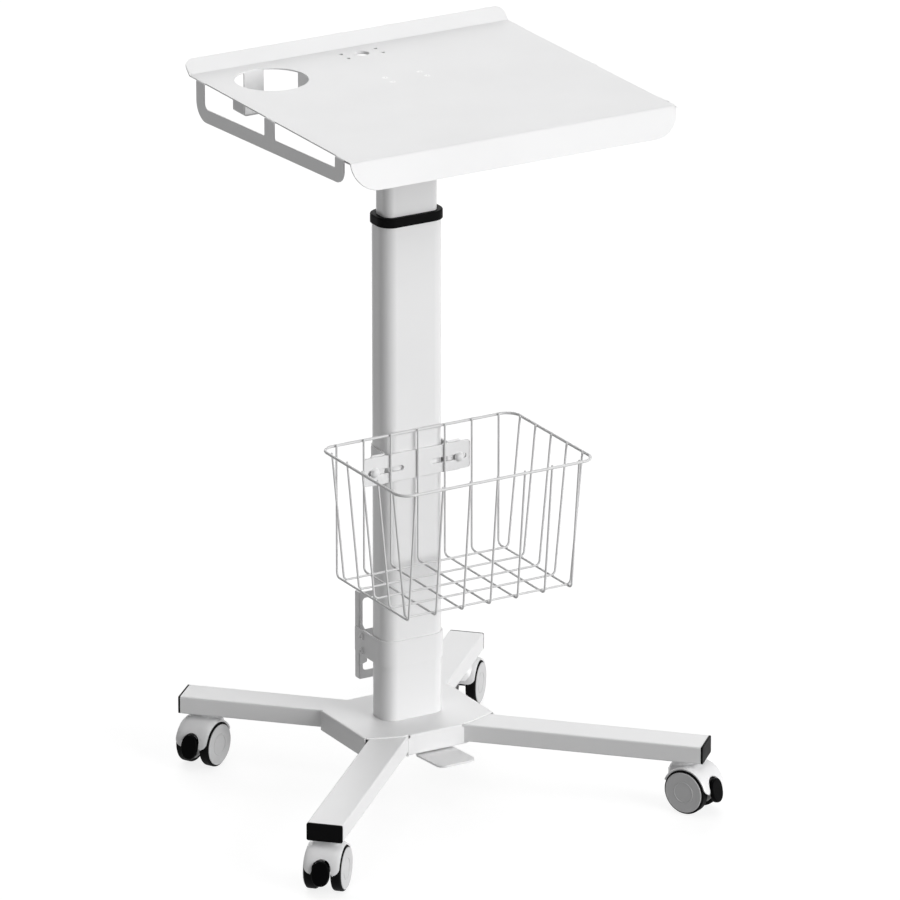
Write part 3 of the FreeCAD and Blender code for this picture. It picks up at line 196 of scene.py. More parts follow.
def finish_mesh(mesh, smooth=32):
    """Rounds the shading except where two faces meet at more than smooth degrees."""
    mesh.validate()
    mesh.shade_smooth()
    mesh.set_sharp_from_angle(angle=math.radians(smooth))


def flat_normals(obj):
    """Lets large faces keep their own shading where a small rounding meets them."""
    weight = obj.modifiers.new("Normals", "WEIGHTED_NORMAL")
    weight.keep_sharp = True
    weight.weight = 90
    apply_modifiers(obj)


def belongs(obj, slot, body, paint):
    """Gives a piece its finish, which is its slot's own unless another is named, and its body."""
    obj.data.materials.clear()
    obj.data.materials.append(PAINT[paint or slot])
    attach(obj, body)


def piece(name, mesh, slot, body, replaced=(), matrix=None, smooth=32, paint=None):
    """Puts a mesh drawn in millimetres into the scene as a piece of the object."""
    mesh.transform((matrix or Matrix.Identity(4)) @ Matrix.Scale(MM, 4))
    obj = added(name, mesh)
    finish_mesh(obj.data, smooth)
    flat_normals(obj)
    belongs(obj, slot, body, paint)
    if replaced:
        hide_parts(*replaced)


def bevelled(obj, width, segments):
    """Rounds every edge sharper than 34 degrees by width millimetres and applies it."""
    rounding = obj.modifiers.new("Rounding", "BEVEL")
    rounding.width = width * MM
    rounding.segments = segments
    rounding.limit_method = "ANGLE"
    rounding.angle_limit = math.radians(34)
    rounding.miter_outer = "MITER_ARC"
    rounding.use_clamp_overlap = True
    apply_modifiers(obj)


def evaluated_mesh(obj):
    """An object's mesh with its modifiers, or a curve's surface, as a new mesh."""
    bpy.context.view_layer.update()
    graph = bpy.context.evaluated_depsgraph_get()
    return bpy.data.meshes.new_from_object(obj.evaluated_get(graph))


def apply_modifiers(obj):
    mesh = evaluated_mesh(obj)
    old = obj.data
    obj.modifiers.clear()
    obj.data = mesh
    bpy.data.meshes.remove(old)


def mesh_from(verts, faces):
    """A mesh with all its faces turned outwards."""
    mesh = bpy.data.meshes.new("mesh")
    mesh.from_pydata([tuple(v) for v in verts], [], faces)
    bm = bmesh.new()
    bm.from_mesh(mesh)
    bmesh.ops.recalc_face_normals(bm, faces=bm.faces)
    bm.to_mesh(mesh)
    bm.free()
    return mesh


def corner_arc(before, here, after, radius, steps):
    """The points of an arc that rounds the corner at here, in two or three dimensions."""
    here = Vector(here)
    back, on = (Vector(before) - here).normalized(), (Vector(after) - here).normalized()
    half = back.angle(on) / 2
    reach = radius / math.tan(half)
    centre = here + (back + on).normalized() * (radius / math.sin(half))
    start, end = here + back * reach - centre, here + on * reach - centre
    turn = start.angle(end)
    out = []
    for k in range(steps + 1):
        f = k / steps
        out.append(centre + (start * math.sin((1 - f) * turn) + end * math.sin(f * turn)) / math.sin(turn))
    return out


def rounded(points, radii, steps=8):
    """A closed outline with each corner rounded by its own radius."""
    out = []
    for i, (point, radius) in enumerate(zip(points, radii)):
        out += corner_arc(points[i - 1], point, points[(i + 1) % len(points)], radius, steps)
    return [(p[0], p[1]) for p in out]


def ring(x, y, radius, count=64):
    """A round outline."""
    return [(x + radius * math.cos(2 * math.pi * i / count), y + radius * math.sin(2 * math.pi * i / count))
            for i in range(count)]


def rectangle(x0, y0, x1, y1, radius, steps=8):
    """A rectangular outline with round corners."""
    return rounded([(x0, y0), (x1, y0), (x1, y1), (x0, y1)], [radius] * 4, steps)


def plate(loops, thickness, edge=0.0, steps=2):
    """A flat plate from closed outlines (the first outside, the rest holes), middle at z = 0."""
    curve = bpy.data.curves.new("plate", "CURVE")
    curve.dimensions = "2D"
    curve.fill_mode = "BOTH"
    curve.extrude = max(0.0, thickness / 2 - edge)
    curve.bevel_depth = edge
    curve.bevel_resolution = steps
    curve.offset = -edge
    for loop in loops:
        spline = curve.splines.new("POLY")
        spline.points.add(len(loop) - 1)
        for spot, (x, y) in zip(spline.points, loop):
            spot.co = (x, y, 0, 1)
        spline.use_cyclic_u = True
    obj = added("plate", curve)
    mesh = evaluated_mesh(obj)
    bpy.data.objects.remove(obj)
    bpy.data.curves.remove(curve)
    bm = bmesh.new()
    bm.from_mesh(mesh)
    bmesh.ops.remove_doubles(bm, verts=bm.verts, dist=1e-4)
    bmesh.ops.recalc_face_normals(bm, faces=bm.faces)
    bm.to_mesh(mesh)
    bm.free()
    return mesh


def lathe(profile, count=96, closed=False):
    """Turns a profile of (radius, x) points about the X axis."""
    verts, faces = [], []
    for radius, x in profile:
        for i in range(count):
            a = 2 * math.pi * i / count
            verts.append((x, radius * math.cos(a), radius * math.sin(a)))
    rows = len(profile)
    for row in range(rows if closed else rows - 1):
        for i in range(count):
            j = (i + 1) % count
            a, b = row * count, (row + 1) % rows * count
            faces.append((a + i, a + j, b + j, b + i))
    if not closed:
        faces.append(tuple(range(count)))
        faces.append(tuple(range((rows - 1) * count, rows * count)))
    return mesh_from(verts, faces)


def bend_path(points, radius, closed=False, steps=8):
    """A line through 3-D points with each corner turned into an arc."""
    out = []
    count = len(points)
    for i, point in enumerate(points):
        if not closed and i in (0, count - 1):
            out.append(Vector(point))
        else:
            out += corner_arc(points[i - 1], point, points[(i + 1) % count], radius, steps)
    return out


def wire(path, radius, closed=False, count=16):
    """A round wire along a path, with domed ends when it is open."""
    verts, faces = [], []
    n = len(path)
    tangents = []
    for i in range(n):
        a = path[i - 1] if (i or closed) else path[0]
        b = path[(i + 1) % n] if (i < n - 1 or closed) else path[-1]
        tangents.append((b - a).normalized())
    side = tangents[0].orthogonal().normalized()
    rings = []
    for i in range(n):
        side = (side - tangents[i] * side.dot(tangents[i])).normalized()
        up = tangents[i].cross(side)
        rings.append((path[i], side.copy(), up, radius))
    if not closed:
        ends = []
        for way, tip in ((1, 0), (-1, -1)):
            spot, u, v, _ = rings[tip]
            dome = [(spot + tangents[tip] * way * radius * (1 - math.sin(math.acos(share))), u, v, radius * share)
                    for share in (0.25, 0.75, 0.95)]
            ends.append(dome + [(spot + tangents[tip] * way * radius, u, v, radius)])
        rings = ends[0] + rings[1:-1] + ends[1][::-1]
    for centre, u, v, r in rings:
        for k in range(count):
            a = 2 * math.pi * k / count
            verts.append(centre + (u * math.cos(a) + v * math.sin(a)) * r)
    total = len(rings)
    for i in range(total if closed else total - 1):
        for k in range(count):
            m = (k + 1) % count
            a, b = i * count, (i + 1) % total * count
            faces.append((a + k, a + m, b + m, b + k))
    if not closed:
        faces.append(tuple(range(count)))
        faces.append(tuple(range((total - 1) * count, total * count)))
    return mesh_from(verts, faces)


def joined(meshes):
    """Several meshes as one."""
    bm = bmesh.new()
    for mesh in meshes:
        bm.from_mesh(mesh)
    out = bpy.data.meshes.new("joined")
    bm.to_mesh(out)
    bm.free()
    return out


def moved(mesh, matrix):
    mesh.transform(matrix)
    return mesh


def side_on(x):
    """Stands a plate drawn as (y, z) upright, across X at x."""
    return Matrix(((0, 0, 1, x), (1, 0, 0, 0), (0, 1, 0, 0), (0, 0, 0, 1)))


def loft(sections):
    """A skin over rounded rectangles (half x, half y, corner radius, z), joined last to first."""
    rows = [[(x, y, z) for x, y in rectangle(-hx, -hy, hx, hy, corner, 12)] for hx, hy, corner, z in sections]
    n = len(rows[0])
    verts = [p for row in rows for p in row]
    faces = []
    count = len(rows)
    for i in range(count):
        a, b = i * n, (i + 1) % count * n
        faces += [(a + k, a + (k + 1) % n, b + (k + 1) % n, b + k) for k in range(n)]
    return mesh_from(verts, faces)


def tube_sections(half_x, half_y, corner, wall, low, high):
    """A tube's outside and inside as loft sections, with its two ends slightly rounded."""
    e = 0.5

    def grown(d, z):
        return half_x + d, half_y + d, corner + d, z
    return [grown(0, low + e), grown(0, high - e), grown(-e, high), grown(e - wall, high), grown(-wall, high - e),
            grown(-wall, low + e), grown(e - wall, low), grown(-e, low)]


def mirrored(quarter):
    """A whole outline, counter-clockwise, from its first quadrant's points."""
    half = quarter + [(-x, y) for x, y in reversed(quarter)]
    whole = half + [(-x, -y) for x, y in half]
    return [p for i, p in enumerate(whole) if math.dist(p, whole[i - 1]) > 1e-4]


def folded(loops, cuts, place):
    """A flat sheet cut along its fold lines (axis, position), with every point then moved by place(u, v)."""
    bm = bmesh.new()
    bm.from_mesh(plate(loops, 0))
    for axis, at in cuts:
        spot, normal = [0, 0, 0], [0, 0, 0]
        spot[axis], normal[axis] = at, 1
        whole = list(bm.verts) + list(bm.edges) + list(bm.faces)
        bmesh.ops.bisect_plane(bm, geom=whole, plane_co=spot, plane_no=normal, dist=1e-5)
    for vert in bm.verts:
        vert.co = place(vert.co.x, vert.co.y)
    bmesh.ops.recalc_face_normals(bm, faces=bm.faces)
    mesh = bpy.data.meshes.new("folded")
    bm.to_mesh(mesh)
    bm.free()
    return mesh


# ---- tray: one sheet cut flat, then bent ----

TOP, SHEET = 1014.0, 2.0
MID = TOP - SHEET / 2
DECK_HALF = 248.0
FOLD_U, FOLD_R = 247.0, 2.0
HANDLE_FRONT, HANDLE_BACK = -271, 130
OUTLET_Y = 120
SCREW_X, SCREW_Y = 26.75, 10.25
CORNERS = [(i, j) for i in (-1, 1) for j in (-1, 1)]


def depth_u(z):
    """Where a height on the hanging handle lies in the flat sheet."""
    return FOLD_U + FOLD_R * math.pi / 2 + (MID - FOLD_R - z)


def bar_low(y):
    """The underside of the handle's bar, which drops a little towards the back."""
    return 959 + 0.0523 * (HANDLE_BACK - y)


def bar_high(y):
    return bar_low(y) + 18.5


# The lips: where each starts and ends in the flat sheet. Their outer corners are at y = -286 and 152.
FRONT_ANGLE, BACK_ANGLE, LIP_R = math.radians(68), math.radians(45), 3.0
FRONT_LIP, BACK_LIP = 41, 24
FRONT_SET = (1 + LIP_R) * math.tan(FRONT_ANGLE / 2)
BACK_SET = (1 - LIP_R) * math.tan(BACK_ANGLE / 2)
V_FRONT = -286 + FRONT_SET
V_BACK = 152 + BACK_SET
V_FRONT_END = V_FRONT - LIP_R * FRONT_ANGLE - (FRONT_LIP - FRONT_SET)
V_BACK_END = V_BACK + LIP_R * BACK_ANGLE + (BACK_LIP + BACK_SET)


def fold_sheet(u, v):
    """The place in the bent tray of a point of the flat sheet, on the sheet's middle surface."""
    x, y, z = u, v, MID
    if v < V_FRONT:
        s = V_FRONT - v
        t = min(s / LIP_R, FRONT_ANGLE)
        rest = max(0.0, s - LIP_R * FRONT_ANGLE)
        y = V_FRONT - LIP_R * math.sin(t) - rest * math.cos(t)
        z = MID - LIP_R * (1 - math.cos(t)) - rest * math.sin(t)
    elif v > V_BACK:
        s = v - V_BACK
        t = min(s / LIP_R, BACK_ANGLE)
        rest = max(0.0, s - LIP_R * BACK_ANGLE)
        y = V_BACK + LIP_R * math.sin(t) + rest * math.cos(t)
        z = MID + LIP_R * (1 - math.cos(t)) + rest * math.sin(t)
    if abs(u) > FOLD_U and V_FRONT < v < V_BACK:
        s = abs(u) - FOLD_U
        t = min(s / FOLD_R, math.pi / 2)
        rest = max(0.0, s - FOLD_R * math.pi / 2)
        x = math.copysign(FOLD_U + FOLD_R * math.sin(t), u)
        z = MID - FOLD_R * (1 - math.cos(t)) - rest
    return x, y, z


def both_sides(right):
    """A whole outline from the (point, corner radius) pairs of its right half, as points and radii."""
    whole = right + [((-u, v), radius) for (u, v), radius in reversed(right)]
    return [point for point, _ in whole], [radius for _, radius in whole]


def tray_mesh():
    """The tray's bent middle surface: lips, handles with their windows, cup hole, cable outlet and screw holes."""
    right = [((DECK_HALF, V_FRONT_END), 37), ((DECK_HALF, HANDLE_FRONT), 0.8),
             ((depth_u(bar_low(HANDLE_FRONT)), HANDLE_FRONT), 20),
             ((depth_u(bar_low(HANDLE_BACK)), HANDLE_BACK), 26),
             ((DECK_HALF, HANDLE_BACK), 0.8), ((DECK_HALF, V_BACK_END), 13)]
    loops = [rounded(*both_sides(right), 14)]
    for front, back, radii in ((-248, -83.5, (1.5, 3, 3, 1.5)), (-58, 109, (1.5, 3, 8, 1.5))):
        window = [(FOLD_U, front), (depth_u(bar_high(front)), front),
                  (depth_u(bar_high(back)), back), (FOLD_U, back)]
        loops.append(rounded(window, radii, 8))
        loops.append(rounded([(-u, v) for u, v in window], radii, 8))
    loops.append(ring(-162, 80, 50, 120))
    loops.append(ring(0, OUTLET_Y, 10, 48))
    for i, j in CORNERS:
        loops.append(ring(SCREW_X * i, OUTLET_Y + SCREW_Y * j, 3.0, 32))
        loops.append(ring(SCREW_X * i, SCREW_Y * j, 4.4, 32))
    cuts = [(1, V_FRONT - LIP_R * FRONT_ANGLE * k / 6) for k in range(7)]
    cuts += [(1, V_BACK + LIP_R * BACK_ANGLE * k / 5) for k in range(6)]
    cuts += [(0, side * (FOLD_U + FOLD_R * math.pi / 2 * k / 5)) for k in range(6) for side in (-1, 1)]
    mesh = folded(loops, cuts, fold_sheet)
    if max(mesh.polygons, key=lambda face: face.area).normal.z < 0:
        mesh.flip_normals()
    return mesh


def thickened(obj, thickness, even):
    """Gives a surface a thickness in millimetres, half to each side, and applies it."""
    wall = obj.modifiers.new("Thickness", "SOLIDIFY")
    wall.thickness, wall.offset, wall.use_even_offset = thickness * MM, 0, even
    apply_modifiers(obj)


def solid_sheet(name, mesh, thickness, slot, body, replaced, bevel=0.35, even=True):
    """Gives a bent surface its thickness and slightly broken edges."""
    mesh.transform(Matrix.Scale(MM, 4))
    obj = added(name, mesh)
    thickened(obj, thickness, even)
    bevelled(obj, bevel, 2)
    finish_mesh(obj.data, 30)
    flat_normals(obj)
    belongs(obj, slot, body, None)
    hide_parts(*replaced)


solid_sheet("tray_sheet", tray_mesh(), SHEET, "tray_paint", "upper", ["tray"])


def countersunk():
    """A countersunk screw with a small recess, along X with the deck's surface at x = 0."""
    return lathe([(4.4, -1.9), (4.4, 0.0), (4.2, 0.15), (1.9, 0.2), (1.7, 0.0), (1.2, -0.6), (0.2, -0.6)], 32)


# Lathes are turned about X; this stands them up, with x = 0 on the deck's surface.
STAND_UP = Matrix.Rotation(math.radians(-90), 4, "Y")
INSERT = [(3.0, -2), (3.0, -9.5), (0.3, -9.5), (0.3, -11), (4.6, -11), (4.6, -2.1), (3.1, -2.05)]
THROAT = [(10, -1.9), (10, -4.0), (10.3, -4.3), (11.5, -4.3), (11.5, -2.1), (11.5, -1.9)]


def on_deck(mesh, x, y):
    return moved(mesh, Matrix.Translation((x, y, TOP)) @ STAND_UP)


heads = [on_deck(countersunk(), SCREW_X * i, SCREW_Y * j) for i, j in CORNERS]
inserts = [on_deck(lathe(INSERT, 32, True), SCREW_X * i, OUTLET_Y + SCREW_Y * j) for i, j in CORNERS]
# The heads carry the whiter colour, a painted highlight; their small recess splits it into two bright marks.
piece("tray_screw_heads", joined(heads), "tray_paint", "upper", ["tray_screws"], smooth=40, paint="screw_highlight_paint")
piece("tray_inserts", joined(inserts), "steel", "upper", smooth=40)
piece("cable_throat", on_deck(lathe(THROAT, 64, True), 0, OUTLET_Y), "tray_paint", "upper", smooth=40)


# ---- column ----

piece("column_outer", loft(tube_sections(47.5, 25, 18.8, 2, 73, 822)), "column_aluminium", "base", ["outer_tube"])
head = plate([rectangle(-55, -30, 55, 30, 4)], 6, 0.6)
piece("column_inner", joined([loft(tube_sections(41.5, 19, 12.3, 2, 365, 1006.5)),
                              moved(head, Matrix.Translation((0, 0, 1009)))]),
      "column_aluminium", "upper", ["inner_tube"])
COLLAR = [
    (49.5, 26.65, 20.4, 812.5), (50, 27.15, 20.9, 813.0), (50, 27.15, 20.9, 823.9), (49.75, 26.9, 20.65, 824.7),
    (49.1, 26.25, 20.0, 825.3), (48.3, 25.45, 19.2, 825.5), (43.0, 20.5, 14.0, 825.5), (42.2, 19.7, 13.2, 825.2),
    (41.8, 19.3, 12.8, 824.4), (41.8, 19.3, 12.8, 780), (45.5, 23, 16.8, 780), (45.5, 23, 16.8, 822),
    (47.5, 25, 18.8, 822), (47.5, 25, 18.8, 812.5),
]
piece("collar_ring", loft(COLLAR), "black_plastic", "base", ["column_collar"])


# ---- hub cover: a folded sheet with a relief hole at each corner of the folds ----

COVER_MID, COVER_R = 98.8, 1.7
# Each pair of flaps: its axis, where the bend starts, the other axis and the flap's half width along that.
FLAPS = ((0, 99.5, 1, 61.3), (1, 77.5, 0, 50.3))


def cover_fold(u, v):
    """The place in the folded cover of a point of the flat sheet."""
    spot = [u, v]
    drop = 0.0
    for axis, start, other, half in FLAPS:
        s = abs((u, v)[axis]) - start
        if s > 0 and abs((u, v)[other]) < half:
            t = min(s / COVER_R, math.pi / 2)
            drop = COVER_R * (1 - math.cos(t)) + max(0.0, s - COVER_R * math.pi / 2)
            spot[axis] = math.copysign(start + COVER_R * math.sin(t), (u, v)[axis])
    return spot[0], spot[1], COVER_MID - drop


def relief(x, y, start, end, radius=1.5, steps=9):
    """A round corner notch swept from one direction to another, in degrees."""
    turns = [math.radians(start + (end - start) * k / steps) for k in range(steps + 1)]
    return [(x + radius * math.cos(a), y + radius * math.sin(a)) for a in turns]


corner = [(128.2, 0.0), (128.2, 60.0), (127.2, 61.0)] + relief(100.3, 60.8, 8, -199)
corner += [(51.5, 77.6)] + relief(43.4, 79.8, -52, -282, 2.8) + [(44.0, 105.2), (43.0, 106.2), (0.0, 106.2)]
fold_cuts = [(axis, side * (start + COVER_R * math.pi / 2 * k / 4))
             for axis, start, _, _ in FLAPS for side in (-1, 1) for k in range(5)]
cover = folded([mirrored(corner), rectangle(-47.8, -25.3, 47.8, 25.3, 19.1, 12)], fold_cuts, cover_fold)
solid_sheet("hub_cover_sheet", cover, 1.6, "frame_paint", "base", ["hub_cover"], 0.25, False)


# ---- leg end caps and pedal ----

# Each leg's direction in degrees and its length from the column's axis.
LEG_ENDS = ((-135, 420.5), (-45, 420.5), (135, 318), (45, 318))
caps = []
for angle, reach in LEG_ENDS:
    stand = Matrix.Rotation(math.radians(angle), 4, "Z") @ Matrix.Rotation(math.radians(90), 4, "Y")
    face = plate([rectangle(-98, -25, -73, 25, 2.6, 6)], 3, 0.7)
    plug = plate([rectangle(-96, -23, -75, 23, 1)], 12, 0.2)
    face.transform(stand @ Matrix.Translation((0, 0, reach + 1.5)))
    plug.transform(stand @ Matrix.Translation((0, 0, reach - 6)))
    caps += [face, plug]
piece("leg_cap_faces", joined(caps), "black_plastic", "base", ["leg_end_caps"])


def pedal_height(y):
    """The pedal's upper surface from its tip at the front to the end of its rear arm."""
    for (y0, z0), (y1, z1) in (((-142, 72), (-75, 67.5)), ((-75, 67.5), (-62, 63)), ((-62, 63), (10, 63))):
        if y <= y1:
            return z0 + (z1 - z0) * (y - y0) / (y1 - y0)
    return 63.0


PEDAL_SHEET = 3
pad_outline = rounded([(-29, -142), (29, -142), (29, -75), (20, -62), (20, 10), (-20, 10), (-20, -62), (-29, -75)],
                      [12, 12, 6, 4, 3, 3, 4, 6], 10)
pedal_sheet = folded([pad_outline], [(1, y) for y in (-76.5, -75, -73.5, -63.5, -62, -60.5)],
                     lambda u, v: (u, v, pedal_height(v) - PEDAL_SHEET / 2))
solid_sheet("pedal_sheet", pedal_sheet, PEDAL_SHEET, "frame_paint", "pedal", [], 0.6)
barrel = [(3.05, -21.7), (4.6, -21.7), (5, -21.3), (5, 21.3), (4.6, 21.7), (3.05, 21.7)]
piece("pedal_barrel", lathe(barrel, 40, True), "frame_paint", "pedal", ["pedal"],
      Matrix.Translation((0, -0.036, 0.058)))


# ---- wire basket ----

RIM_Z, RIM_X, RIM_BACK, RIM_FRONT = 518.8, 150.6, -27.1, -249.0
INSET, WELD_INSET, WIRE_TOP, WIRE_R, BEND = 3.55, 2.6, 521.5, 1.5, 7
LOW, FLOOR_FRONT, FLOOR_HALF = 331.2, -226, 129
LONG_WIRES = [42.3 * k for k in range(-3, 4)]
CROSS_WIRES = [-54 - 41.4 * k for k in range(5)]

rim = [(-RIM_X, RIM_FRONT, RIM_Z), (RIM_X, RIM_FRONT, RIM_Z), (RIM_X, RIM_BACK, RIM_Z), (-RIM_X, RIM_BACK, RIM_Z)]
piece("basket_rim_wire", wire(bend_path(rim, 20, True, 14), 2.0, True, 24), "wire_coat", "base", ["basket_rim"],
      smooth=60)
wires, welds = [], []
for x in LONG_WIRES:
    run = [(x, RIM_BACK - INSET, WIRE_TOP), (x, RIM_BACK - INSET, LOW), (x, FLOOR_FRONT, LOW),
           (x, RIM_FRONT + INSET, WIRE_TOP)]
    wires.append(wire(bend_path(run, BEND, False, 10), WIRE_R))
    welds += [(x, RIM_BACK - WELD_INSET, RIM_Z), (x, RIM_FRONT + WELD_INSET, RIM_Z)]
for y in CROSS_WIRES:
    side, low = RIM_X - INSET, LOW + 3.1
    run = [(-side, y, WIRE_TOP), (-FLOOR_HALF, y, low), (FLOOR_HALF, y, low), (side, y, WIRE_TOP)]
    wires.append(wire(bend_path(run, BEND, False, 10), WIRE_R))
    welds += [(-RIM_X + WELD_INSET, y, RIM_Z), (RIM_X - WELD_INSET, y, RIM_Z)]
    welds += [(x, y, LOW + 1.55) for x in LONG_WIRES]
piece("basket_wire_frame", joined(wires), "wire_coat", "base", ["basket_wires"], smooth=60)


def blob(spot, size):
    """A small weld bead."""
    bm = bmesh.new()
    bmesh.ops.create_icosphere(bm, subdivisions=2, radius=1.0)
    for vert in bm.verts:
        swell = 1 + 0.08 * math.sin(3 * vert.co.x + 5 * vert.co.y + spot[0])
        vert.co = Vector(spot) + Vector((vert.co.x * size[0], vert.co.y * size[1], vert.co.z * size[2])) * swell
    mesh = bpy.data.meshes.new("bead")
    bm.to_mesh(mesh)
    bm.free()
    return mesh


piece("basket_welds", joined([blob(spot, (1.35, 1.35, 1.0)) for spot in welds]), "wire_coat", "base", smooth=80)


# ---- basket plate, its clamp and its screws ----

def slot_loop(x, z, length, height):
    """A slot with round ends."""
    return rectangle(x - length / 2, z - height / 2, x + length / 2, z + height / 2, height / 2 - 0.05, 10)


# Stands a plate drawn as (x, z) upright.
UPRIGHT = Matrix.Rotation(math.radians(90), 4, "X")
loops = [rectangle(-83, 451, 83, 491, 4)] + [slot_loop(49 * side, 469, 56, 7.5) for side in (-1, 1)]
piece("basket_mount_plate", moved(plate(loops, 3.6, 0.6), Matrix.Translation((0, -27, 0)) @ UPRIGHT),
      "frame_paint", "base", ["basket_plate"])


def bent_strip(path, loops):
    """A flat strip drawn as (distance along, height), laid along a path of (x, y) points."""
    marks = [0.0]
    for a, b in zip(path, path[1:]):
        marks.append(marks[-1] + math.dist(a, b))

    def place(s, z):
        i = next((k for k in range(1, len(marks) - 1) if s <= marks[k]), len(marks) - 1)
        f = (s - marks[i - 1]) / (marks[i] - marks[i - 1])
        a, b = path[i - 1], path[i]
        return a[0] + (b[0] - a[0]) * f, a[1] + (b[1] - a[1]) * f, z
    return folded(loops, [(0, mark) for mark in marks[1:-1]], place)


def flat_path(points, radii):
    """An open path of (x, y) points with each inner corner bent to its own radius."""
    out = [points[0]]
    for i in range(1, len(points) - 1):
        three = [Vector((*points[i - 1], 0)), Vector((*points[i], 0)), Vector((*points[i + 1], 0))]
        out += [(p.x, p.y) for p in bend_path(three, radii[i - 1], False, 12)[1:-1]]
    return out + [points[-1]]


def length_of(path):
    return sum(math.dist(a, b) for a, b in zip(path, path[1:]))


clamp_path = flat_path([(-76, -24.2), (-48.5, -24.2), (-48.5, 26), (48.5, 26), (48.5, -24.2), (76, -24.2)],
                       [3, 19.8, 19.8, 3])
total = length_of(clamp_path)
outline = [(0, 457), (8, 449), (total - 8, 449), (total, 457), (total, 485), (total - 8, 493), (8, 493), (0, 485)]
clamp = bent_strip(clamp_path, [rounded(outline, [1.5] * 8, 5)])
solid_sheet("basket_clamp_strap", clamp, 2, "frame_paint", "base", ["basket_clamp"], 0.35)

DOME = [(3, 0), (7.0, 0), (7.0, 0.7), (6.3, 1.0), (6.1, 1.8), (5.4, 3.0), (4.0, 4.0), (2.2, 4.5), (0.3, 4.6)]
SHANK = [(2.9, -6), (2.9, 0.5)]
NUT = [(2.9, -9.8), (4.6, -9.8), (5.0, -9.4), (5.0, -6.2), (4.6, -5.8), (2.9, -5.8)]
knobs = []
for side in (-1, 1):
    spin = Matrix.Translation((66 * side, -28.8, 468.8)) @ Matrix.Rotation(math.radians(-90), 4, "Z")
    knobs += [moved(lathe(profile, count), spin) for profile, count in ((DOME, 40), (SHANK, 24), (NUT, 6))]
piece("basket_knobs", joined(knobs), "frame_paint", "base", ["basket_screws"], smooth=40)


# ---- cable holder ----

band_path = flat_path([(-49, 57), (-49, -26), (49, -26), (49, 57)], [19.8, 19.8])
total = length_of(band_path)
band = bent_strip(band_path, [rectangle(0, 179.5, total, 216.5, 2.5)])
solid_sheet("holder_strap", band, 2, "frame_paint", "base", ["holder_band"], 0.9)

face = plate([rectangle(-48, 140, 48, 267, 1.5), rectangle(-43, 212, 43, 258, 5), rectangle(-43, 152, 43, 176, 5)],
             2, 0.35)
parts = [moved(face, Matrix.Translation((0, 48, 0)) @ UPRIGHT)]
flange = rounded([(60, 140), (60, 267), (47.5, 267), (47.5, 226.5), (30, 212.5), (30, 171.5), (47.5, 160.5),
                  (47.5, 140)], [2, 2, 0.5, 3, 4, 4, 3, 0.5], 6)
parts += [moved(plate([flange], 2, 0.35), side_on(47 * side)) for side in (-1, 1)]
piece("holder_frame", joined(parts), "frame_paint", "base", ["holder_plate"])


def socket_head(radius, height, socket):
    """A cap screw's head along +X from x = 0, with a hexagonal socket."""
    top = plate([ring(0, 0, radius, 40), ring(0, 0, socket, 6)], height, 0.35)
    floor_disc = plate([ring(0, 0, radius - 0.5, 40)], 0.8, 0.0)
    top.transform(Matrix.Translation((0, 0, height / 2)))
    floor_disc.transform(Matrix.Translation((0, 0, 0.8)))
    return moved(joined([top, floor_disc]), Matrix.Rotation(math.radians(90), 4, "Y"))


sockets = []
for side in (-1, 1):
    for z in (186, 207):
        spin = Matrix.Translation((50 * side, 37, z)) @ Matrix.Rotation(0 if side > 0 else math.pi, 4, "Z")
        sockets += [moved(socket_head(5, 3, 2.3), spin), moved(lathe([(2.45, -7), (2.45, 0.4)], 20), spin)]
piece("holder_cap_screws", joined(sockets), "steel", "base", ["holder_screws"], smooth=40, paint="frame_paint")


# ---- casters, drawn in their own frame: swivel axis Z, brake lever towards -Y ----

AXLE_Y, AXLE_Z = -15.0, 31.5
# The hood's middle radius, its wall and half its width.
HOOD_R, HOOD_WALL, HOOD_X = 34.45, 2.5, 24.4
TYRE_R = 31.5


def wheel_profile():
    """Half of a wheel's section from its blind bore round to the middle of its outer face, as (radius, x)."""
    return [(4.05, 25.0), (4.05, 11.3), (9.5, 11.3), (10.2, 12.2), (22.6, 12.6), (23.6, 11.6), (24.2, 11.3),
            (26.45, 11.3), (26.45, 25.6), (28.5, 25.7), (28.7, 26.1), (28.5, 26.7), (28.1, 26.95),
            (27.6, 27.0), (15.3, 26.5), (15.0, 26.98), (14.2, 26.98), (13.9, 26.4), (0.3, 26.8)]


def tyre_profile():
    """A closed tyre section with soft shoulders and a shallow line round the middle of the tread."""
    turns = [math.radians(15 * k) for k in range(7)]
    inner = [(TYRE_R - 3.2 * (1 - math.sin(a)), 14.5 - 3.2 * math.cos(a)) for a in turns]
    outer = [(TYRE_R - 2.4 * (1 - math.cos(a)), 23.2 + 2.4 * math.sin(a)) for a in turns]
    tread = [(TYRE_R, 18.1), (TYRE_R - 0.2, 18.25), (TYRE_R, 18.4)]
    return [(26.5, 11.3)] + inner + tread + outer + [(26.5, 25.6)]


def axle_turned(mesh, side):
    """Sets a lathe about X on the axle, on the +X or -X side."""
    flip = Matrix.Scale(-1, 4, (1, 0, 0)) if side < 0 else Matrix.Identity(4)
    mesh.transform(Matrix.Translation((0, AXLE_Y, AXLE_Z)) @ flip)
    if side < 0:
        mesh.flip_normals()
    return mesh


def hood_place(x, s):
    """A point of the unrolled hood laid round the axle; s runs from the back (+Y), over the top, to the front."""
    turn = s / HOOD_R
    crown = 1 - 0.05 * abs(x / HOOD_X) ** 6
    radius = HOOD_R * crown
    return x, AXLE_Y + radius * math.cos(turn), AXLE_Z + radius * math.sin(turn)


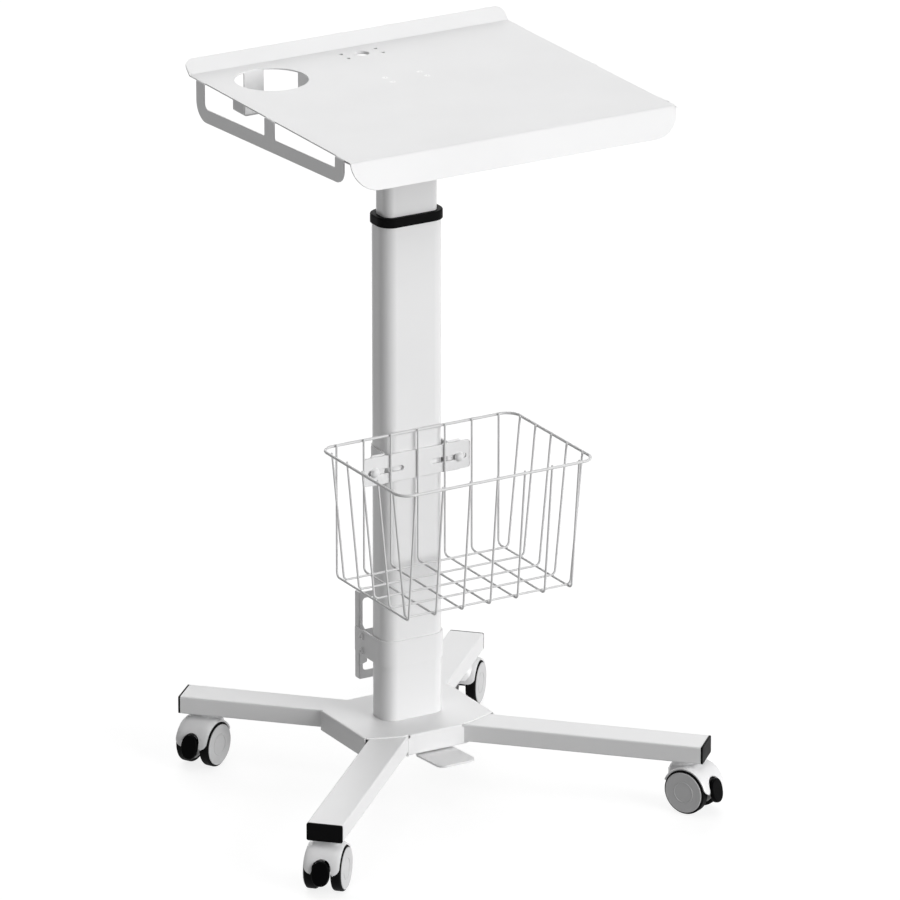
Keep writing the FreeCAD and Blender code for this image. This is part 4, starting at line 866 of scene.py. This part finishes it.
def hood_shell():
    """The hood's middle surface, with the brake lever's notch at its front."""
    rear, front = HOOD_R * math.radians(14), HOOD_R * math.radians(178)
    arch = HOOD_R * math.radians(143)
    right = [((HOOD_X, rear), 9), ((HOOD_X, front), 10.5), ((13.3, front), 3.5), ((13.3, arch), 13.0)]
    outline = rounded(*both_sides(right), 14)
    cuts = [(1, HOOD_R * math.radians(a)) for a in range(16, 178, 4)]
    cuts += [(0, side * x) for side in (-1, 1) for x in (23.8, 22.6, 21, 18.5, 15)]
    return folded([outline], cuts, hood_place)


def boss_mesh():
    """The round swivel boss, flared where it grows out of the hood."""
    profile = [(4.2, 70.7), (15.2, 70.7), (16, 69.9), (16.1, 66.5), (16.5, 64.5), (17.6, 62.5), (19.5, 60.5),
               (22.0, 55), (22.0, 45)]
    mesh = lathe([(r, -z) for r, z in profile], 64)
    mesh.transform(Matrix.Rotation(math.radians(90), 4, "Y"))
    for vert in mesh.vertices:
        y, z = vert.co.y - AXLE_Y, vert.co.z - AXLE_Z
        reach = math.hypot(y, z)
        if reach < HOOD_R:
            vert.co.y = AXLE_Y + y * HOOD_R / reach
            vert.co.z = AXLE_Z + z * HOOD_R / reach
    return mesh


def cheek_meshes():
    """The two cheeks between the wheels that hold the axle, and the neck round the stem."""
    outline = rounded([(-24, 31.5), (-20, 23.5), (-10, 23.5), (-6, 31.5), (12, 53.5), (5, 59.5), (-25, 64.0),
                       (-27, 51.5)], [5, 5, 5, 5, 2, 2, 2, 3], 6)
    out = [moved(plate([outline], 4.4, 0.4), side_on(6.8 * side)) for side in (-1, 1)]
    neck = lathe([(4.2, -50.3), (8.6, -50.3), (9, -50.7), (9, -64)], 40)
    neck.transform(Matrix.Rotation(math.radians(90), 4, "Y"))
    return out + [neck]


def oval(half_x, half_y, power=2.2, count=72):
    """A closed outline a little fuller than an ellipse."""
    def fuller(half, turn):
        return math.copysign(half * abs(turn) ** (2 / power), turn)
    return [(fuller(half_x, x), fuller(half_y, y)) for x, y in ring(0, 0, 1, count)]


def lever_meshes():
    """The brake lever: a leaning pad, its arm and the eye round the axle."""
    lean = math.radians(12)
    centre = Vector((0, AXLE_Y - 36.5, AXLE_Z + 3))
    outward = Vector((0, -math.cos(lean), math.sin(lean)))
    up = Vector((0, math.sin(lean), math.cos(lean)))
    across = Vector((1, 0, 0))
    stand = Matrix([(*row, at) for row, at in zip(zip(across, up, outward), centre)] + [(0, 0, 0, 1)])
    pad = plate([oval(12.5, 17)], 7, 2.0, 4)
    crown = plate([oval(8.2, 12.4)], 0.5, 0.2, 2)
    crown.transform(Matrix.Translation((0, 0, 3.3)))
    arm = rounded([(AXLE_Y - 3, AXLE_Z - 4), (AXLE_Y - 3, AXLE_Z + 5), (AXLE_Y - 35, AXLE_Z + 7),
                   (AXLE_Y - 35, AXLE_Z - 1)], [1, 2, 0.5, 0.5], 4)
    eye = lathe([(4.06, -4.2), (6.6, -4.2), (7, -3.8), (7, 3.8), (6.6, 4.2), (4.06, 4.2)], 40, True)
    eye.transform(Matrix.Translation((0, AXLE_Y, AXLE_Z)))
    return [moved(joined([pad, crown]), stand), moved(plate([arm], 8.4, 0.8), side_on(0)), eye]


# Each caster's label, its leg's direction in degrees, its distance from the column's axis and its own turn.
CASTERS = (("front_left", -135, 392, -45), ("front_right", -45, 392, 26.5),
           ("rear_left", 135, 284, -60.5), ("rear_right", 45, 284, 135))
for label, angle, reach, turn in CASTERS:
    a = math.radians(angle)
    stand = Matrix.Translation((reach * MM * math.cos(a), reach * MM * math.sin(a), 0))
    stand = stand @ Matrix.Rotation(math.radians(turn), 4, "Z")
    body = f"caster_{label}"
    shell = hood_shell()
    shell.transform(Matrix.Scale(MM, 4))
    hood = added("shell", shell)
    thickened(hood, HOOD_WALL, True)
    bevelled(hood, 0.8, 3)
    shell = hood.data
    bpy.data.objects.remove(hood)
    shell.transform(Matrix.Scale(1 / MM, 4))
    piece(f"{label}_hood", joined([shell, boss_mesh()] + cheek_meshes()), "hood_plastic", body,
          [f"caster_{label}_hood"], stand, smooth=35)
    for side, letter in ((-1, "l"), (1, "r")):
        wheel_body = f"{label}_wheel_{letter}"
        piece(f"{label}_disc_{letter}", axle_turned(lathe(wheel_profile(), 96), side), "disc_plastic", wheel_body,
              [f"caster_{label}_wheel_{letter}"], stand, smooth=28)
        piece(f"{label}_tyre_{letter}", axle_turned(lathe(tyre_profile(), 96, True), side), "tyre", wheel_body,
              [f"caster_{label}_tyre_{letter}"], stand, smooth=40)
    piece(f"{label}_brake_lever", joined(lever_meshes()), "lever_plastic", f"{label}_lever",
          [f"caster_{label}_lever"], stand, smooth=35)


# ---- camera ----

def look(azimuth, elevation, distance, target):
    """A place seen from the target at an azimuth from the front (-Y) and an elevation, in degrees."""
    a, e = math.radians(azimuth), math.radians(elevation)
    back = Vector((math.sin(a) * math.cos(e), -math.cos(a) * math.cos(e), math.sin(e)))
    return Vector(target) + back * distance


optics = bpy.data.cameras.new("camera")
optics.lens = 382.2
optics.sensor_width = 36
optics.clip_end = 60
camera = added("camera", optics)
TARGET = Vector((0.0509, -0.0295, 0.4812))
camera.location = look(-30.1, 19.95, 13.0, TARGET)
camera.rotation_euler = (TARGET - camera.location).to_track_quat("-Z", "Y").to_euler()
bpy.context.scene.camera = camera


# ---- light and floor ----

def soft_sun(name, azimuth, elevation, strength):
    """A large, far, even lamp that shines at the trolley's middle with soft shadows."""
    lamp = bpy.data.lights.new(name, "SUN")
    lamp.energy = strength
    lamp.angle = math.radians(50)
    obj = added(name, lamp)
    middle = Vector((0, 0, 0.5))
    obj.location = look(azimuth, elevation, 6.0, middle)
    obj.rotation_euler = (middle - obj.location).to_track_quat("-Z", "Y").to_euler()


# Set so that the faces have the photograph's tones.
soft_sun("key", 30, 15, 2.72)
soft_sun("rear", 160, 30, 1.1)
soft_sun("top", 0, 85, 0.58)

world = bpy.data.worlds.new("studio")
world.use_nodes = True
background = world.node_tree.nodes["Background"]
background.inputs["Color"].default_value = (1, 1, 1, 1)
background.inputs["Strength"].default_value = 0.235
bpy.context.scene.world = world
# Keeps the whites white; the default view turns them grey.
bpy.context.scene.view_settings.view_transform = "Standard"

# White paper with some light of its own, which throws none back at the trolley.
floor_mesh = bpy.data.meshes.new("floor")
floor_mesh.from_pydata([(-40, -40, 0), (40, -40, 0), (40, 40, 0), (-40, 40, 0)], [], [(0, 1, 2, 3)])
floor = added("floor", floor_mesh)
floor_mat, nodes, links, shader, at = tree("floor_paper")
fibre = noise(nodes, links, at, 35, 3)
links.new(tints(nodes, links, fibre, ((0.235, 0.235, 0.235), (0.245, 0.245, 0.245))), shader.inputs["Base Color"])
shader.inputs["Roughness"].default_value = 0.9
shader.inputs["Emission Color"].default_value = (1, 1, 1, 1)
shader.inputs["Emission Strength"].default_value = 0.82
floor_mesh.materials.append(floor_mat)
floor.visible_diffuse = False


# ---- CAD nodes that keep their own shape ----

for row in frame["record"]["subparts"]:
    node = frame["nodes"][row["node"]]
    node.data.materials.clear()
    node.data.materials.append(PAINT[row["material_slot"]])
